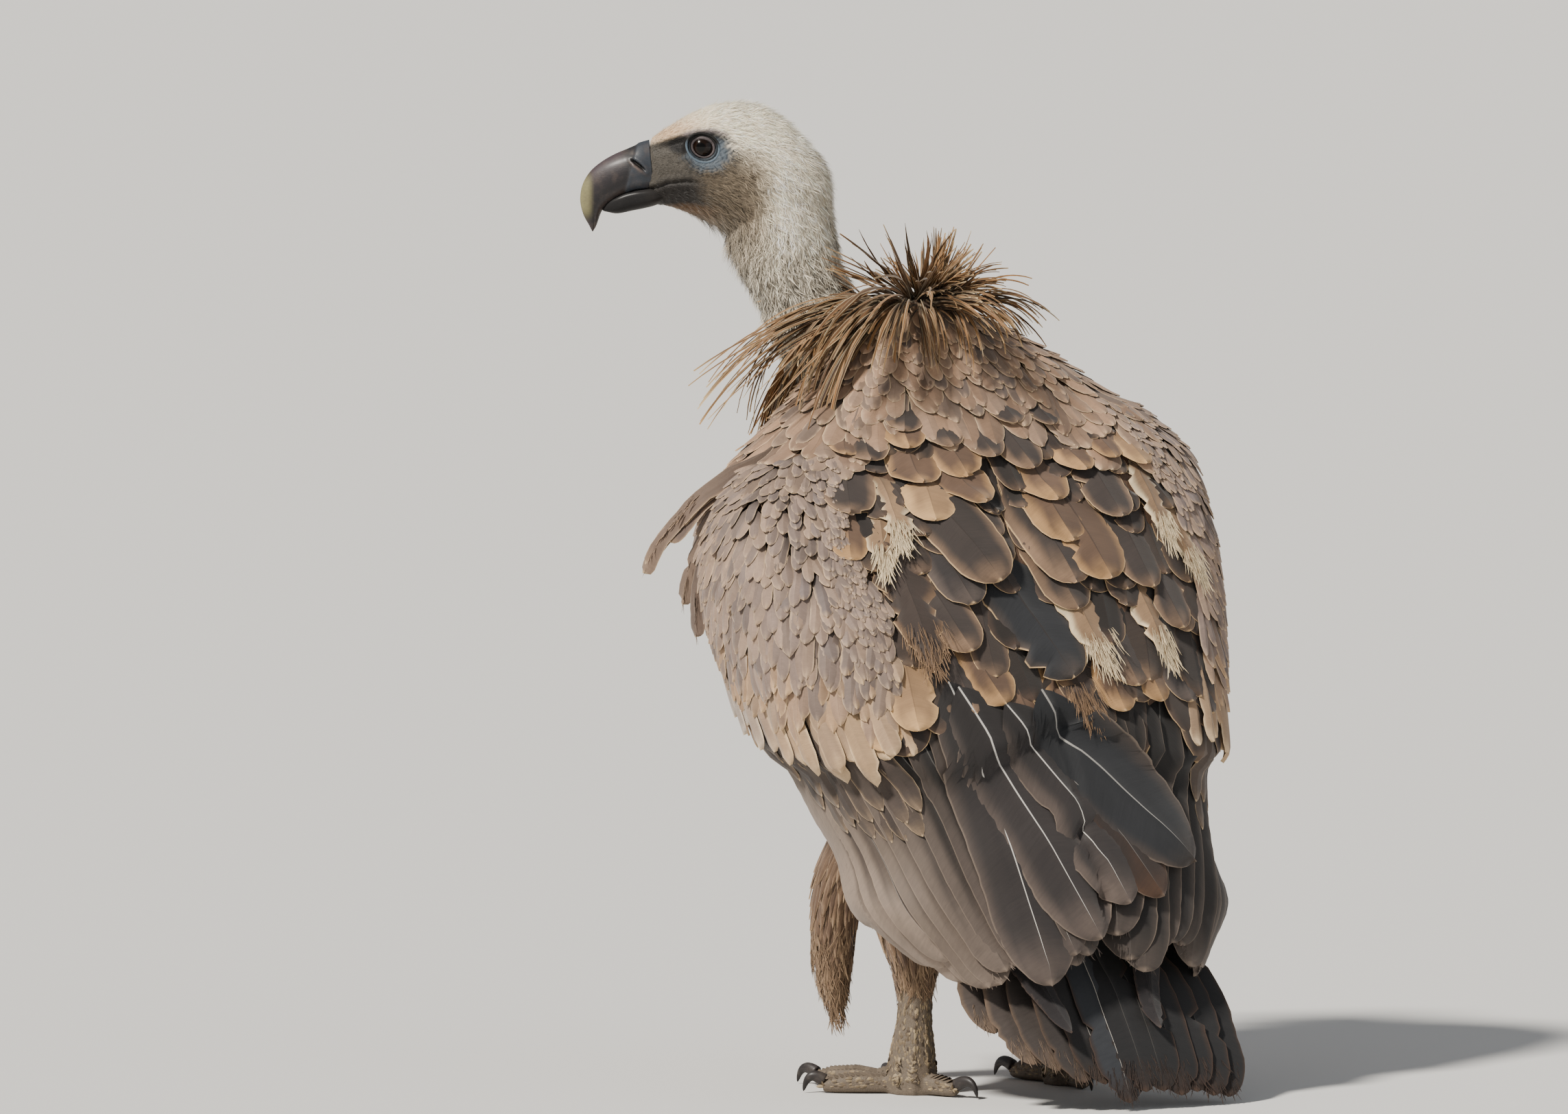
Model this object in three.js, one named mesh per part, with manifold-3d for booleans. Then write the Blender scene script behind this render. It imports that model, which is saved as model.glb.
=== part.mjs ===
// A life-size griffon vulture, standing upright with its wings folded and its head turned to its left.
// Millimetres. +Z is up, the bird faces -Y, its left side is +X, and it stands on z = 0 on both feet and its tail.
// The solids hold the whole animal out to the tips of its plumage, parted where a person would name its parts.
import * as THREE from "three";
import { mergeVertices } from "three/addons/utils/BufferGeometryUtils.js";
import Module from "manifold-3d";

const wasm = await Module();
wasm.setup();

// ---------------------------------------------------------------- driving sizes
const JOIN_GAP = 0.35; // space left between two pieces that meet
const SLIVER = 0.08;
const SLOPE_GAP = 1; // the same, measured level where a surface slopes
const FLOOR = 0;

// The head's own frame: x runs along the bill, y to the head's left, z up, from the middle of the skull.
const SKULL = new THREE.Vector3(80, -198, 688);
const HEADING = THREE.MathUtils.degToRad(-30); // turned 60 degrees to the bird's left
const EYE = { x: 47.7, y: 17.6, z: 12.3, radius: 10.4 };

const FOOT = { x: 68, y: 0, turnedOut: THREE.MathUtils.degToRad(20) };
const LEFT_SHOULDER_DROP = 28; // the left wing hangs a little lower than the right
const RIGHT_SHOULDER_RISE = 8;
const WING_DEPTH = 15; // folded wing and its coverts, under the outline
const FLIGHT_DEPTH = 7; // the stack of flight feathers
const COVER_EDGE = 7.5; // the coverts where they lie on the flight feathers
const COVER_RIM = 2.5; // the coverts along their top edge
const SCALLOP = 9; // how far the rounded feather tips stand below the notches between them
const CHEST_INSET = 3;
const MIDLINE_GAP = 0.4;

// ---------------------------------------------------------------- curves and tables
const mix = (a, b, t) => a + (b - a) * t;
const clamp = (t) => Math.min(1, Math.max(0, t));
const smooth = (t) => clamp(t) ** 2 * (3 - 2 * clamp(t));

/** A smooth curve through rows of [place, value, ...], rising in place, that never overshoots them. */
function table(rows) {
  const width = rows[0].length;
  const slope = (i, k) => (rows[i + 1][k] - rows[i][k]) / (rows[i + 1][0] - rows[i][0]);
  const tangent = (i, k) => {
    if (i === 0) return slope(0, k);
    if (i === rows.length - 1) return slope(i - 1, k);
    const before = slope(i - 1, k);
    const after = slope(i, k);
    return before * after <= 0 ? 0 : (2 * before * after) / (before + after);
  };
  return (place) => {
    const at = Math.min(rows.at(-1)[0], Math.max(rows[0][0], place));
    const i = Math.max(0, rows.findLastIndex((row, n) => row[0] <= at && n < rows.length - 1));
    const span = rows[i + 1][0] - rows[i][0];
    const t = (at - rows[i][0]) / span;
    return Array.from({ length: width - 1 }, (_, n) => {
      const k = n + 1;
      const a = rows[i][k];
      const b = rows[i + 1][k];
      return (
        (2 * t ** 3 - 3 * t ** 2 + 1) * a +
        (t ** 3 - 2 * t ** 2 + t) * span * tangent(i, k) +
        (3 * t ** 2 - 2 * t ** 3) * b +
        (t ** 3 - t ** 2) * span * tangent(i + 1, k)
      );
    });
  };
}

// The bird's outline with its wings folded, in level slices:
// height, y of the back, y of the widest place, y of the front, half width, squareness of the back.
const GIRTH = table([
  [60, 174, 90, 60, 80, 2.6],
  [94, 162, 75, 30, 100, 2.7],
  [141, 148, 45, -20, 124, 2.8],
  [170, 139, 30, -48, 137, 2.9],
  [220, 123, 5, -92, 164, 3],
  [270, 104, -12, -136, 182, 3],
  [320, 80, -25, -176, 196, 3],
  [370, 54, -36, -208, 203, 3],
  [415, 28, -42, -228, 203, 2.9],
  [455, 0, -55, -236, 197, 2.7],
  [485, -21, -75, -232, 180, 2.5],
  [510, -42, -95, -216, 150, 2.3],
  [535, -61, -110, -192, 114, 2.2],
  [560, -76, -118, -170, 80, 2],
  [580, -87, -114, -145, 46, 2],
  [596, -98, -111, -124, 14, 2],
]);
const FRONT_SQUARENESS = 2.2;

// The belly and vent under the wings: height, back, widest, front, half width.
const BELLY = table([
  [150, 100, 74, 46, 18],
  [170, 106, 50, -15, 52],
  [195, 98, 30, -58, 85],
  [225, 88, 10, -95, 112],
  [260, 80, -5, -128, 140],
  [300, 72, -19, -161, 170],
]);
const BELLY_TOP = 300;

// How far the body leans to its right: height, sideways shift.
const LEAN = table([
  [60, -7],
  [130, -7],
  [230, 0],
  [300, 0],
  [400, -4],
  [460, -10],
  [510, -13],
  [560, -8],
  [600, 0],
]);

// Side view of the folded wing: where the front edge of the coverts and of the flight feathers lies.
const COVERT_FRONT = table([
  [240, -86],
  [262, -94],
  [290, -106],
  [330, -122],
  [380, -140],
  [430, -156],
  [470, -160],
  [500, -150],
]);
const FLIGHT_FRONT = table([
  [94, 138],
  [97, 118],
  [106, 97],
  [135, 55],
  [164, 32],
  [181, 22],
  [216, 2],
  [257, -19],
  [300, -45],
  [340, -60],
]);
// Where the large shoulder feathers of the back begin, as a share of the way round from chest to back.
const SCAPULAR_SEAM = table([
  [240, 0.82],
  [316, 0.81],
  [403, 0.77],
  [510, 0.7],
]);

// ---------------------------------------------------------------- the outline
const OUTLINE_STEPS = 72;
const sliceCache = new Map();

/** Half of a level slice of an outline, from the middle of the chest to the middle of the back, by length. */
function slice(key, [back, widest, front, half, squareness]) {
  if (!sliceCache.has(key)) {
    const points = [];
    const lengths = [0];
    for (let i = 0; i <= OUTLINE_STEPS; i++) {
      const angle = -Math.PI / 2 + (Math.PI * i) / OUTLINE_STEPS;
      const behind = i * 2 >= OUTLINE_STEPS;
      const power = 2 / (behind ? squareness : FRONT_SQUARENESS);
      const reach = Math.abs(Math.sin(angle)) ** power;
      const x = half * Math.abs(Math.cos(angle)) ** power * (i % OUTLINE_STEPS ? 1 : 0);
      points.push([x, behind ? mix(widest, back, reach) : mix(widest, front, reach)]);
      if (i) {
        const [ax, ay] = points[i - 1];
        lengths.push(lengths[i - 1] + Math.hypot(points[i][0] - ax, points[i][1] - ay));
      }
    }
    sliceCache.set(key, { points, shares: lengths.map((l) => l / lengths.at(-1)) });
  }
  return sliceCache.get(key);
}

/** The [x, y] at a share of the way round a slice. */
function around({ points, shares }, share) {
  const at = clamp(share);
  const i = Math.min(OUTLINE_STEPS - 1, Math.max(0, shares.findLastIndex((s) => s <= at)));
  const t = (at - shares[i]) / (shares[i + 1] - shares[i]);
  return [mix(points[i][0], points[i + 1][0], t), mix(points[i][1], points[i + 1][1], t)];
}

const girth = (z) => slice(`girth ${z.toFixed(3)}`, GIRTH(z));
const belly = (z) => slice(`belly ${z.toFixed(3)}`, [...BELLY(z), 2.4]);

/** The share of the way round at which a slice of the outline comes to a given y, on its side or back. */
function shareAtY(z, y) {
  const { points, shares } = girth(z);
  const i = points.findIndex(([, py]) => py >= y);
  if (i <= 0) return i === 0 ? 0 : 1;
  return mix(shares[i - 1], shares[i], (y - points[i - 1][1]) / (points[i][1] - points[i - 1][1]));
}

/** A point of a slice, moved out along its level normal, on the left (1) or right (-1) side. */
function onSlice(cut, z, share, out, side, clear = -Infinity) {
  const step = 0.012;
  const [x, y] = around(cut, share);
  const [ax, ay] = share < step ? [-around(cut, step - share)[0], around(cut, step)[1]] : around(cut, share - step);
  const [bx, by] = share > 1 - step ? [-around(cut, 2 - step - share)[0], around(cut, 1 - step)[1]] : around(cut, share + step);
  const length = Math.hypot(bx - ax, by - ay) || 1;
  const reach = Math.max(clear, x + (out * (by - ay)) / length);
  return settle(new THREE.Vector3(side * reach, y - (out * (bx - ax)) / length, z));
}

/** Lets the left shoulder hang lower than the right, and leans the body. */
function settle(point) {
  const outwards = smooth((Math.abs(point.x) - 15) / 120);
  const high = smooth((point.z - 320) / 130);
  point.x += LEAN(point.z)[0];
  point.z += (point.x > 0 ? -LEFT_SHOULDER_DROP : RIGHT_SHOULDER_RISE) * outwards * high;
  return point;
}

const onOutline = (z, share, out, side, clear) => onSlice(girth(z), z, share, out, side, clear);

// ---------------------------------------------------------------- solids
/** A geometry from points and triangles, turned so that its faces point out. */
function closed(points, triangles) {
  let volume = 0;
  for (const [a, b, c] of triangles) volume += points[a].dot(points[b].clone().cross(points[c]));
  const geometry = new THREE.BufferGeometry();
  geometry.setAttribute("position", new THREE.Float32BufferAttribute(points.flatMap((p) => p.toArray()), 3));
  geometry.setIndex(volume < 0 ? triangles.flatMap(([a, b, c]) => [a, c, b]) : triangles.flat());
  return geometry;
}

/** A closed skin over rings of equal count, with a fan at each end. */
function loft(rings) {
  const count = rings[0].length;
  const points = rings.flat();
  const triangles = [];
  for (let r = 0; r + 1 < rings.length; r++)
    for (let i = 0; i < count; i++) {
      const a = r * count + i;
      const b = r * count + ((i + 1) % count);
      triangles.push([a, b, b + count], [a, b + count, a + count]);
    }
  for (const [first, ring] of [[0, rings[0]], [(rings.length - 1) * count, rings.at(-1)]]) {
    const middle = points.length;
    points.push(ring.reduce((sum, p) => sum.add(p), new THREE.Vector3()).divideScalar(count));
    for (let i = 0; i < count; i++) {
      const pair = [first + i, first + ((i + 1) % count)];
      triangles.push(first ? [pair[0], pair[1], middle] : [pair[1], pair[0], middle]);
    }
  }
  return closed(points, triangles);
}

/** A plate between an outer and an inner face, each given at shares down and across. */
function plate(rows, columns, outer, inner) {
  const points = [];
  const triangles = [];
  for (const face of [outer, inner])
    for (let r = 0; r <= rows; r++) for (let c = 0; c <= columns; c++) points.push(face(r / rows, c / columns));
  const layer = (rows + 1) * (columns + 1);
  const at = (r, c) => r * (columns + 1) + c;
  const quad = (a, b, c, d) => triangles.push([a, b, c], [a, c, d]);
  for (let r = 0; r < rows; r++)
    for (let c = 0; c < columns; c++) {
      quad(at(r, c), at(r, c + 1), at(r + 1, c + 1), at(r + 1, c));
      quad(layer + at(r + 1, c), layer + at(r + 1, c + 1), layer + at(r, c + 1), layer + at(r, c));
    }
  const rim = [
    ...Array.from({ length: columns }, (_, c) => at(0, c)),
    ...Array.from({ length: rows }, (_, r) => at(r, columns)),
    ...Array.from({ length: columns }, (_, c) => at(rows, columns - c)),
    ...Array.from({ length: rows }, (_, r) => at(rows - r, 0)),
  ];
  rim.forEach((a, i) => {
    const b = rim[(i + 1) % rim.length];
    quad(b, a, layer + a, layer + b);
  });
  return closed(points, triangles);
}

/** An oval ring of points about a centre, in the plane of two axes, with its squareness. */
function oval(centre, across, up, halfAcross, halfUp, count, squareness = 2) {
  return Array.from({ length: count }, (_, i) => {
    const angle = (2 * Math.PI * (i + 0.5)) / count;
    const bend = (v) => Math.sign(v) * Math.abs(v) ** (2 / squareness);
    return centre
      .clone()
      .addScaledVector(across, halfAcross * bend(Math.cos(angle)))
      .addScaledVector(up, halfUp * bend(Math.sin(angle)));
  });
}

/** A round-sectioned limb through places of [x, y, z, half width, half depth]. */
function limb(places, { count = 10, grow = 0, across = new THREE.Vector3(1, 0, 0), steps = 2 } = {}) {
  const path = new THREE.CatmullRomCurve3(places.map(([x, y, z]) => new THREE.Vector3(x, y, z)));
  const total = (places.length - 1) * steps;
  const rings = Array.from({ length: total + 1 }, (_, i) => {
    const share = i / total;
    const place = Math.min(places.length - 2, Math.floor(share * (places.length - 1)));
    const t = share * (places.length - 1) - place;
    const half = [3, 4].map((k) => mix(places[place][k], places[place + 1][k], t) + grow);
    const along = path.getTangent(share);
    const side = across.clone().addScaledVector(along, -across.dot(along)).normalize();
    const end = i === 0 ? -grow : i === total ? grow : 0;
    const middle = path.getPoint(share).addScaledVector(along, end);
    return oval(middle, side, along.clone().cross(side).normalize(), half[0], half[1], count);
  });
  return loft(rings);
}

/** A closed geometry as a solid that can be cut and joined. */
function solid(geometry) {
  const bare = new THREE.BufferGeometry().setAttribute("position", geometry.getAttribute("position"));
  bare.setIndex(geometry.getIndex());
  const merged = mergeVertices(bare, 1e-4);
  return new wasm.Manifold(
    new wasm.Mesh({
      numProp: 3,
      vertProperties: new Float32Array(merged.getAttribute("position").array),
      triVerts: new Uint32Array(merged.getIndex().array),
    }),
  );
}

/** The largest body of a solid, with the slivers that cutting leaves taken out, as a geometry. */
function largest(made) {
  const body = made.simplify(SLIVER).decompose().sort((a, b) => b.volume() - a.volume())[0];
  const mesh = body.getMesh();
  const positions = new Float32Array(mesh.numVert * 3);
  for (let i = 0; i < mesh.numVert; i++)
    positions.set(mesh.vertProperties.subarray(i * mesh.numProp, i * mesh.numProp + 3), i * 3);
  return new THREE.BufferGeometry()
    .setAttribute("position", new THREE.BufferAttribute(positions, 3))
    .setIndex(new THREE.BufferAttribute(mesh.triVerts, 1));
}

const joined = (...geometries) => geometries.map(solid).reduce((a, b) => a.add(b));
const without = (whole, ...tools) => tools.reduce((a, b) => a.subtract(b), whole);

// ---------------------------------------------------------------- trunk
const COVER_RAMP = 60; // how far below its top edge a wing reaches full depth
const NEST_LEAD = 16; // the hollow for a wing starts this far above it
const NEST_GAP = 2.2;

const coverTop = table([
  [0.3, 478],
  [0.45, 500],
  [0.6, 512],
  [0.75, 505],
  [0.88, 474],
  [1, 436],
]);

/** How deep the folded wing lies at a height and share of the way round. */
const coverDepth = (z, share) => mix(COVER_RIM, WING_DEPTH, clamp((coverTop(share)[0] - z) / COVER_RAMP));

/** How far the trunk lies under the outline there. */
const nestDepth = (z, share) =>
  mix(CHEST_INSET, WING_DEPTH + NEST_GAP, clamp((coverTop(share)[0] + NEST_LEAD - z) / COVER_RAMP));

const TRUNK_ROWS = [150, 162, 190, 226, 270, 300, 350, 400, 440, 468, 492, 516, 540, 564, 582, 596];

const VENT_BLEND = 30; // height over which the sides pass into the belly
const LEAST_CHEST = 0.25; // share of a ring that the chest keeps near the neck

/** One level ring of the trunk: chest, then sunk under the wing, then the mantle. */
function trunkRing(z, grow) {
  const front = Math.max(LEAST_CHEST, shareAtY(z, COVERT_FRONT(z)[0]));
  const chest = Array.from({ length: 6 }, (_, i) => [(i / 5) * (front - 0.012), false]);
  const nest = Array.from({ length: 9 }, (_, i) => [mix(front - 0.006, 1, i / 8), true]);
  const shares = [...chest, ...nest];
  const half = (side) =>
    shares.map(([share, sunk]) => {
      const depth = sunk ? nestDepth(z, share) : CHEST_INSET;
      const high = onOutline(Math.max(z, BELLY_TOP), share, grow - depth, side);
      if (z >= BELLY_TOP) return high;
      const low = onSlice(belly(z), z, share, grow, side);
      return high.lerp(low, smooth((BELLY_TOP - z) / VENT_BLEND)).setZ(z);
    });
  return [...half(1), ...half(-1).slice(1, -1).reverse()];
}

const trunk = (grow = 0) => loft(TRUNK_ROWS.map((z) => trunkRing(z, grow)));

// ---------------------------------------------------------------- wings
/** One layer of a folded wing, from a front edge to a back edge that give [height, share round] going down. */
function wingLayer(side, { rows, columns, front, back, sag, scallops, out, depth }) {
  const place = (down, across) => {
    const [zFront, shareFront] = front(down);
    const [zBack, shareBack] = back(down);
    const lobe = Math.abs(Math.sin(Math.PI * scallops * across));
    const hang = sag * Math.sin(Math.PI * across) * down + SCALLOP * lobe * down ** 3;
    return [mix(zFront, zBack, across) - hang, mix(shareFront, shareBack, across)];
  };
  const face = (offset) => (down, across) => {
    const [z, share] = place(down, across);
    return onOutline(z, share, offset(down, across, z, share), side, MIDLINE_GAP);
  };
  return plate(rows, columns, face(out), face((...at) => out(...at) - depth(...at)));
}

// Lower edge of the coverts and shoulder feathers, by share of the way round.
const coverBottom = table([
  [0.3, 262],
  [0.6, 253],
  [0.81, 250],
  [1, 288],
]);
const COVER_FOLD = 28; // the flight feathers are wholly covered down to this far below that edge

/** Coverts and shoulder feathers thin out towards their top edge and where they lie on the flight feathers. */
function coverThickness(z, share) {
  const lap = clamp((z - coverBottom(share)[0] - 104) / 40);
  return Math.min(coverDepth(z, share), mix(COVER_EDGE, WING_DEPTH, lap));
}

const onSeam = (top, shift) => (d) => {
  const z = mix(top, coverBottom(0.81)[0], d);
  return [z, SCAPULAR_SEAM(z)[0] + shift];
};
const SEAM_TOP = 506;
const SEAM_HALF = 0.0016;

const coverts = (side) =>
  wingLayer(side, {
    rows: 7,
    columns: 12,
    front: (d) => {
      const z = mix(488, coverBottom(0.3)[0], d);
      return [z, shareAtY(z, COVERT_FRONT(z)[0])];
    },
    back: onSeam(SEAM_TOP, -SEAM_HALF),
    sag: 6,
    scallops: 6,
    out: (d, across) => 4.5 * Math.sin(Math.PI * Math.min(1, 0.15 + across)) * smooth(d * 4) * (1 - 0.6 * across),
    depth: (d, across, z, share) => coverThickness(z, share),
  });

const scapulars = (side) =>
  wingLayer(side, {
    rows: 7,
    columns: 8,
    front: onSeam(SEAM_TOP, SEAM_HALF),
    back: (d) => [mix(coverTop(1)[0] - 2, coverBottom(1)[0], d), 1],
    sag: 0,
    scallops: 4,
    out: (d) => 2.5 * smooth(d * 3),
    depth: (d, across, z, share) => coverThickness(z, share),
  });

const FLIGHT_TOP = { front: 300, back: 345 };
const FLIGHT_TIP = { front: 104, back: 120 };

const flightFeathers = (side) =>
  wingLayer(side, {
    rows: 6,
    columns: 16,
    front: (d) => {
      const z = mix(FLIGHT_TOP.front, FLIGHT_TIP.front, d);
      return [z, shareAtY(z, FLIGHT_FRONT(z)[0])];
    },
    back: (d) => [mix(FLIGHT_TOP.back, FLIGHT_TIP.back, d), 1],
    sag: 0,
    scallops: 8,
    out: (d, across, z, share) => {
      const covered = smooth((z - coverBottom(share)[0] + COVER_FOLD + 34) / 34);
      return mix(mix(-1.5, 1.5, d ** 4), -COVER_EDGE - 1.4, covered);
    },
    depth: (d) => mix(FLIGHT_DEPTH, 3, d),
  });

// The outer primaries show as a narrow dark blade under the flight feathers, beside the tail.
const PRIMARY_PATH = [
  [66, 106, 205, 26],
  [60, 123, 150, 27],
  [50, 141, 105, 22],
  [42, 162, 76, 12],
  [38, 180, 58, 4],
];
const primaries = (side) => {
  const blade = table(PRIMARY_PATH.map(([x, y, z, half], i) => [i, x, y, z, half]));
  const face = (offset) => (d, across) => {
    const [x, y, z, half] = blade(d * (PRIMARY_PATH.length - 1));
    const lift = Math.abs(2 * across - 1) ** 2;
    return new THREE.Vector3(side * (x + half * (2 * across - 1)), y + offset - 5 * lift, z);
  };
  return plate(5, 4, face(0), face(-3));
};

// One loose covert stands out from the left wing's front edge: way from its root, half width, half thickness.
const LOOSE_COVERT = { root: [462, -142], run: [34, -30, -48], sizes: [[5, 1.6], [8, 1.4], [8, 1.2], [2.5, 0.8]] };

function looseCovert() {
  const [z, y] = LOOSE_COVERT.root;
  const root = onOutline(z, shareAtY(z, y), -3, 1);
  const places = LOOSE_COVERT.sizes.map((size, i) => {
    const along = i / (LOOSE_COVERT.sizes.length - 1);
    return [...root.clone().addScaledVector(new THREE.Vector3(...LOOSE_COVERT.run), along).toArray(), ...size];
  });
  return limb(places, { count: 6, across: new THREE.Vector3(0.5, 0.4, 0.75), steps: 1 });
}

// ---------------------------------------------------------------- tail
const TAIL = { top: 232, feathers: 10, thickness: 5, leftCorner: 26, rightCorner: 5, ragged: 5 };
// height, y, half width, how far the edges curve forward, sideways shift, turn about the upright
const TAIL_LINE = table([
  [0, 194, 95, 16, -11, 0.1],
  [20, 186, 97, 20, -11, 0.1],
  [45, 173, 100, 24, -10, 0.1],
  [72, 155, 103, 27, -9, 0.1],
  [88, 144, 100, 30, -9, 0.08],
  [106, 127, 82, 33, -8, 0.03],
  [170, 108, 72, 34, -4, 0],
  [232, 92, 50, 26, 0, 0],
]);

function tail() {
  const face = (offset) => (d, across) => {
    const lobe = Math.abs(Math.sin(Math.PI * TAIL.feathers * across));
    const reach = 2 * across - 1;
    const corner = TAIL.leftCorner * Math.max(0, reach) ** 3 + TAIL.rightCorner * Math.max(0, -reach) ** 4;
    const tip = corner + TAIL.ragged * (1 - lobe) - 2;
    const z = mix(TAIL.top, tip, d);
    const [y, half, bow, shift, turn] = TAIL_LINE(z);
    return new THREE.Vector3(shift + half * reach, y + offset - bow * reach ** 2 - turn * half * reach, z);
  };
  return plate(6, 2 * TAIL.feathers, face(0), face(-TAIL.thickness));
}

// ---------------------------------------------------------------- neck, head and bill
const FORWARD = new THREE.Vector3(Math.cos(HEADING), Math.sin(HEADING), 0);
const HEAD_LEFT = new THREE.Vector3(-Math.sin(HEADING), Math.cos(HEADING), 0);

// x, y, z, half width sideways, half depth along the bill's direction
const NECK_LINE = [
  [2, -122, 498, 40, 46],
  [24, -160, 532, 37, 43],
  [44, -180, 562, 35, 38],
  [56, -186, 592, 33, 36],
  [67, -190, 620, 33, 41],
  [73, -193, 648, 32, 44],
  [76, -195, 672, 28, 38],
];
const neck = (grow = 0) => limb(NECK_LINE, { count: 12, grow, across: HEAD_LEFT });

/** A point of the head's own frame in the bird's frame. */
const headPoint = (x, y, z) =>
  SKULL.clone().addScaledVector(FORWARD, x).addScaledVector(HEAD_LEFT, y).add(new THREE.Vector3(0, 0, z));

// Along the head: crown, throat, half width, height of the widest place.
const HEAD_LINE = table([
  [-50, -10, -30, 7, -20],
  [-44, 3, -44, 20, -20],
  [-32, 16, -58, 29, -18],
  [-12, 36, -66, 33.5, -14],
  [8, 46.5, -63, 34, -12],
  [28, 48, -55, 32.5, -10],
  [46, 44.5, -46.5, 29.5, -6],
  [62, 37, -38.5, 25, -4],
  [78, 26, -33, 19.5, -4],
  [91, 16.5, -31.5, 15.5, -6],
]);

const HEAD_SIDES = 16;
/** One upright ring across the head: domed crown, full cheeks, narrow throat. */
function headRing(x, grow) {
  const [crown, throat, half, widest] = HEAD_LINE(x);
  return Array.from({ length: HEAD_SIDES }, (_, i) => {
    const angle = (2 * Math.PI * i) / HEAD_SIDES;
    const c = Math.cos(angle);
    const s = Math.sin(angle);
    const up = s > 0 ? crown - widest : widest - throat;
    const power = s > 0 ? 0.92 : 1.06;
    const y = (half + grow) * Math.sign(c) * Math.abs(c) ** power;
    return headPoint(x, y, widest + (up + grow) * Math.sign(s) * Math.abs(s) ** 0.96);
  });
}
const HEAD_ROWS = [-50, -45, -34, -16, 4, 24, 42, 60, 76, 91];
const HEAD_END = HEAD_ROWS.length - 1;
const head = (grow = 0) =>
  loft(HEAD_ROWS.map((x, i) => headRing(x + (i === 0 ? -grow : i === HEAD_END ? grow : 0), grow)));

const eyeball = (side, grow = 0) => {
  const ball = new THREE.SphereGeometry(EYE.radius + grow, 12, 8);
  const place = headPoint(EYE.x, side * EYE.y, EYE.z);
  return ball.translate(place.x, place.y, place.z);
};

/** The hollow of the orbit, a shallow dish round the eye under the brow. */
const orbit = (side) => {
  const dish = new THREE.SphereGeometry(22, 12, 8);
  const place = headPoint(EYE.x + 1, side * (EYE.y + 28.2), EYE.z - 1);
  return dish.translate(place.x, place.y, place.z);
};

// The upper bill's ridge and cutting edge, and its half width, from cere to hook, in the head's frame.
const BILL_RIDGE = [
  [88, 17.5], [96, 13.2], [104, 8.8], [113.5, 3.9], [123, -1.4], [131.5, -8], [137, -17], [138, -28], [135.4, -38], [131, -46.5], [128.6, -50.6],
];
const BILL_EDGE = [
  [88, -20.5], [93, -21], [99, -21.6], [106, -24], [113, -27.6], [119, -31.5], [123.5, -35.6], [125.6, -39.6], [126.8, -43.2], [127.6, -47], [128.2, -50.4],
];
const BILL_HALF_WIDTH = [15.2, 14.8, 14, 12.8, 11.2, 9.4, 7.6, 6, 4.4, 2.4, 0.5];

const BILL_SIDES = 10;

function upperBill() {
  const rings = BILL_RIDGE.map(([rx, rz], i) => {
    const [ex, ez] = BILL_EDGE[i];
    return Array.from({ length: BILL_SIDES }, (_, k) => {
      const angle = (2 * Math.PI * k) / BILL_SIDES;
      const height = 0.5 + 0.5 * Math.sin(angle);
      const flare = 1.08 - 0.3 * height ** 2;
      const y = BILL_HALF_WIDTH[i] * flare * Math.sign(Math.cos(angle)) * Math.abs(Math.cos(angle)) ** 0.8;
      return headPoint(mix(ex, rx, height), y, mix(ez, rz, height));
    });
  });
  return loft(rings);
}

/** The slit of the nostril through the cere, sloping down and back. */
function nostril() {
  const slit = new THREE.SphereGeometry(1, 8, 5);
  slit.scale(7.4, 26, 1.7);
  slit.rotateY(THREE.MathUtils.degToRad(-38));
  slit.rotateZ(HEADING);
  const place = headPoint(96.3, 0, -1.8);
  return slit.translate(place.x, place.y, place.z);
}

// Lower bill in the head's frame: x, top, bottom, half width.
const LOWER_BILL = [
  [84, -21.5, -32.4, 13.4],
  [94, -22, -33.6, 12.8],
  [103, -24, -35.8, 11.6],
  [112, -28, -38, 9.8],
  [118.5, -31.6, -38.9, 7.6],
  [123.5, -35, -38.6, 4.6],
];
function lowerBill(grow = 0) {
  const rings = LOWER_BILL.map(([x, top, bottom, half], i) => {
    const end = i === LOWER_BILL.length - 1 ? grow : 0;
    const middle = headPoint(x + end, 0, (top + bottom) / 2);
    return oval(middle, HEAD_LEFT, new THREE.Vector3(0, 0, 1), half + grow, (top - bottom) / 2 + grow, 10, 2.4);
  });
  return loft(rings);
}

// ---------------------------------------------------------------- ruff
// A collar of long pointed feathers round the foot of the neck: its ring lies high behind and low in front.
const RUFF = { centre: [-1, -151], reach: [70, 62], high: 590, low: 514, roll: 11, spread: 21 };
const RUFF_SPIKES = 18;
const RUFF_SWEEP = THREE.MathUtils.degToRad(150); // the longest feathers blow back and to the right

function ruffRing(turn) {
  const behind = 0.5 + 0.5 * Math.sin(turn);
  return new THREE.Vector3(
    RUFF.centre[0] + RUFF.reach[0] * Math.cos(turn),
    RUFF.centre[1] + RUFF.reach[1] * Math.sin(turn),
    mix(RUFF.low, RUFF.high, behind),
  );
}

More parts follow.
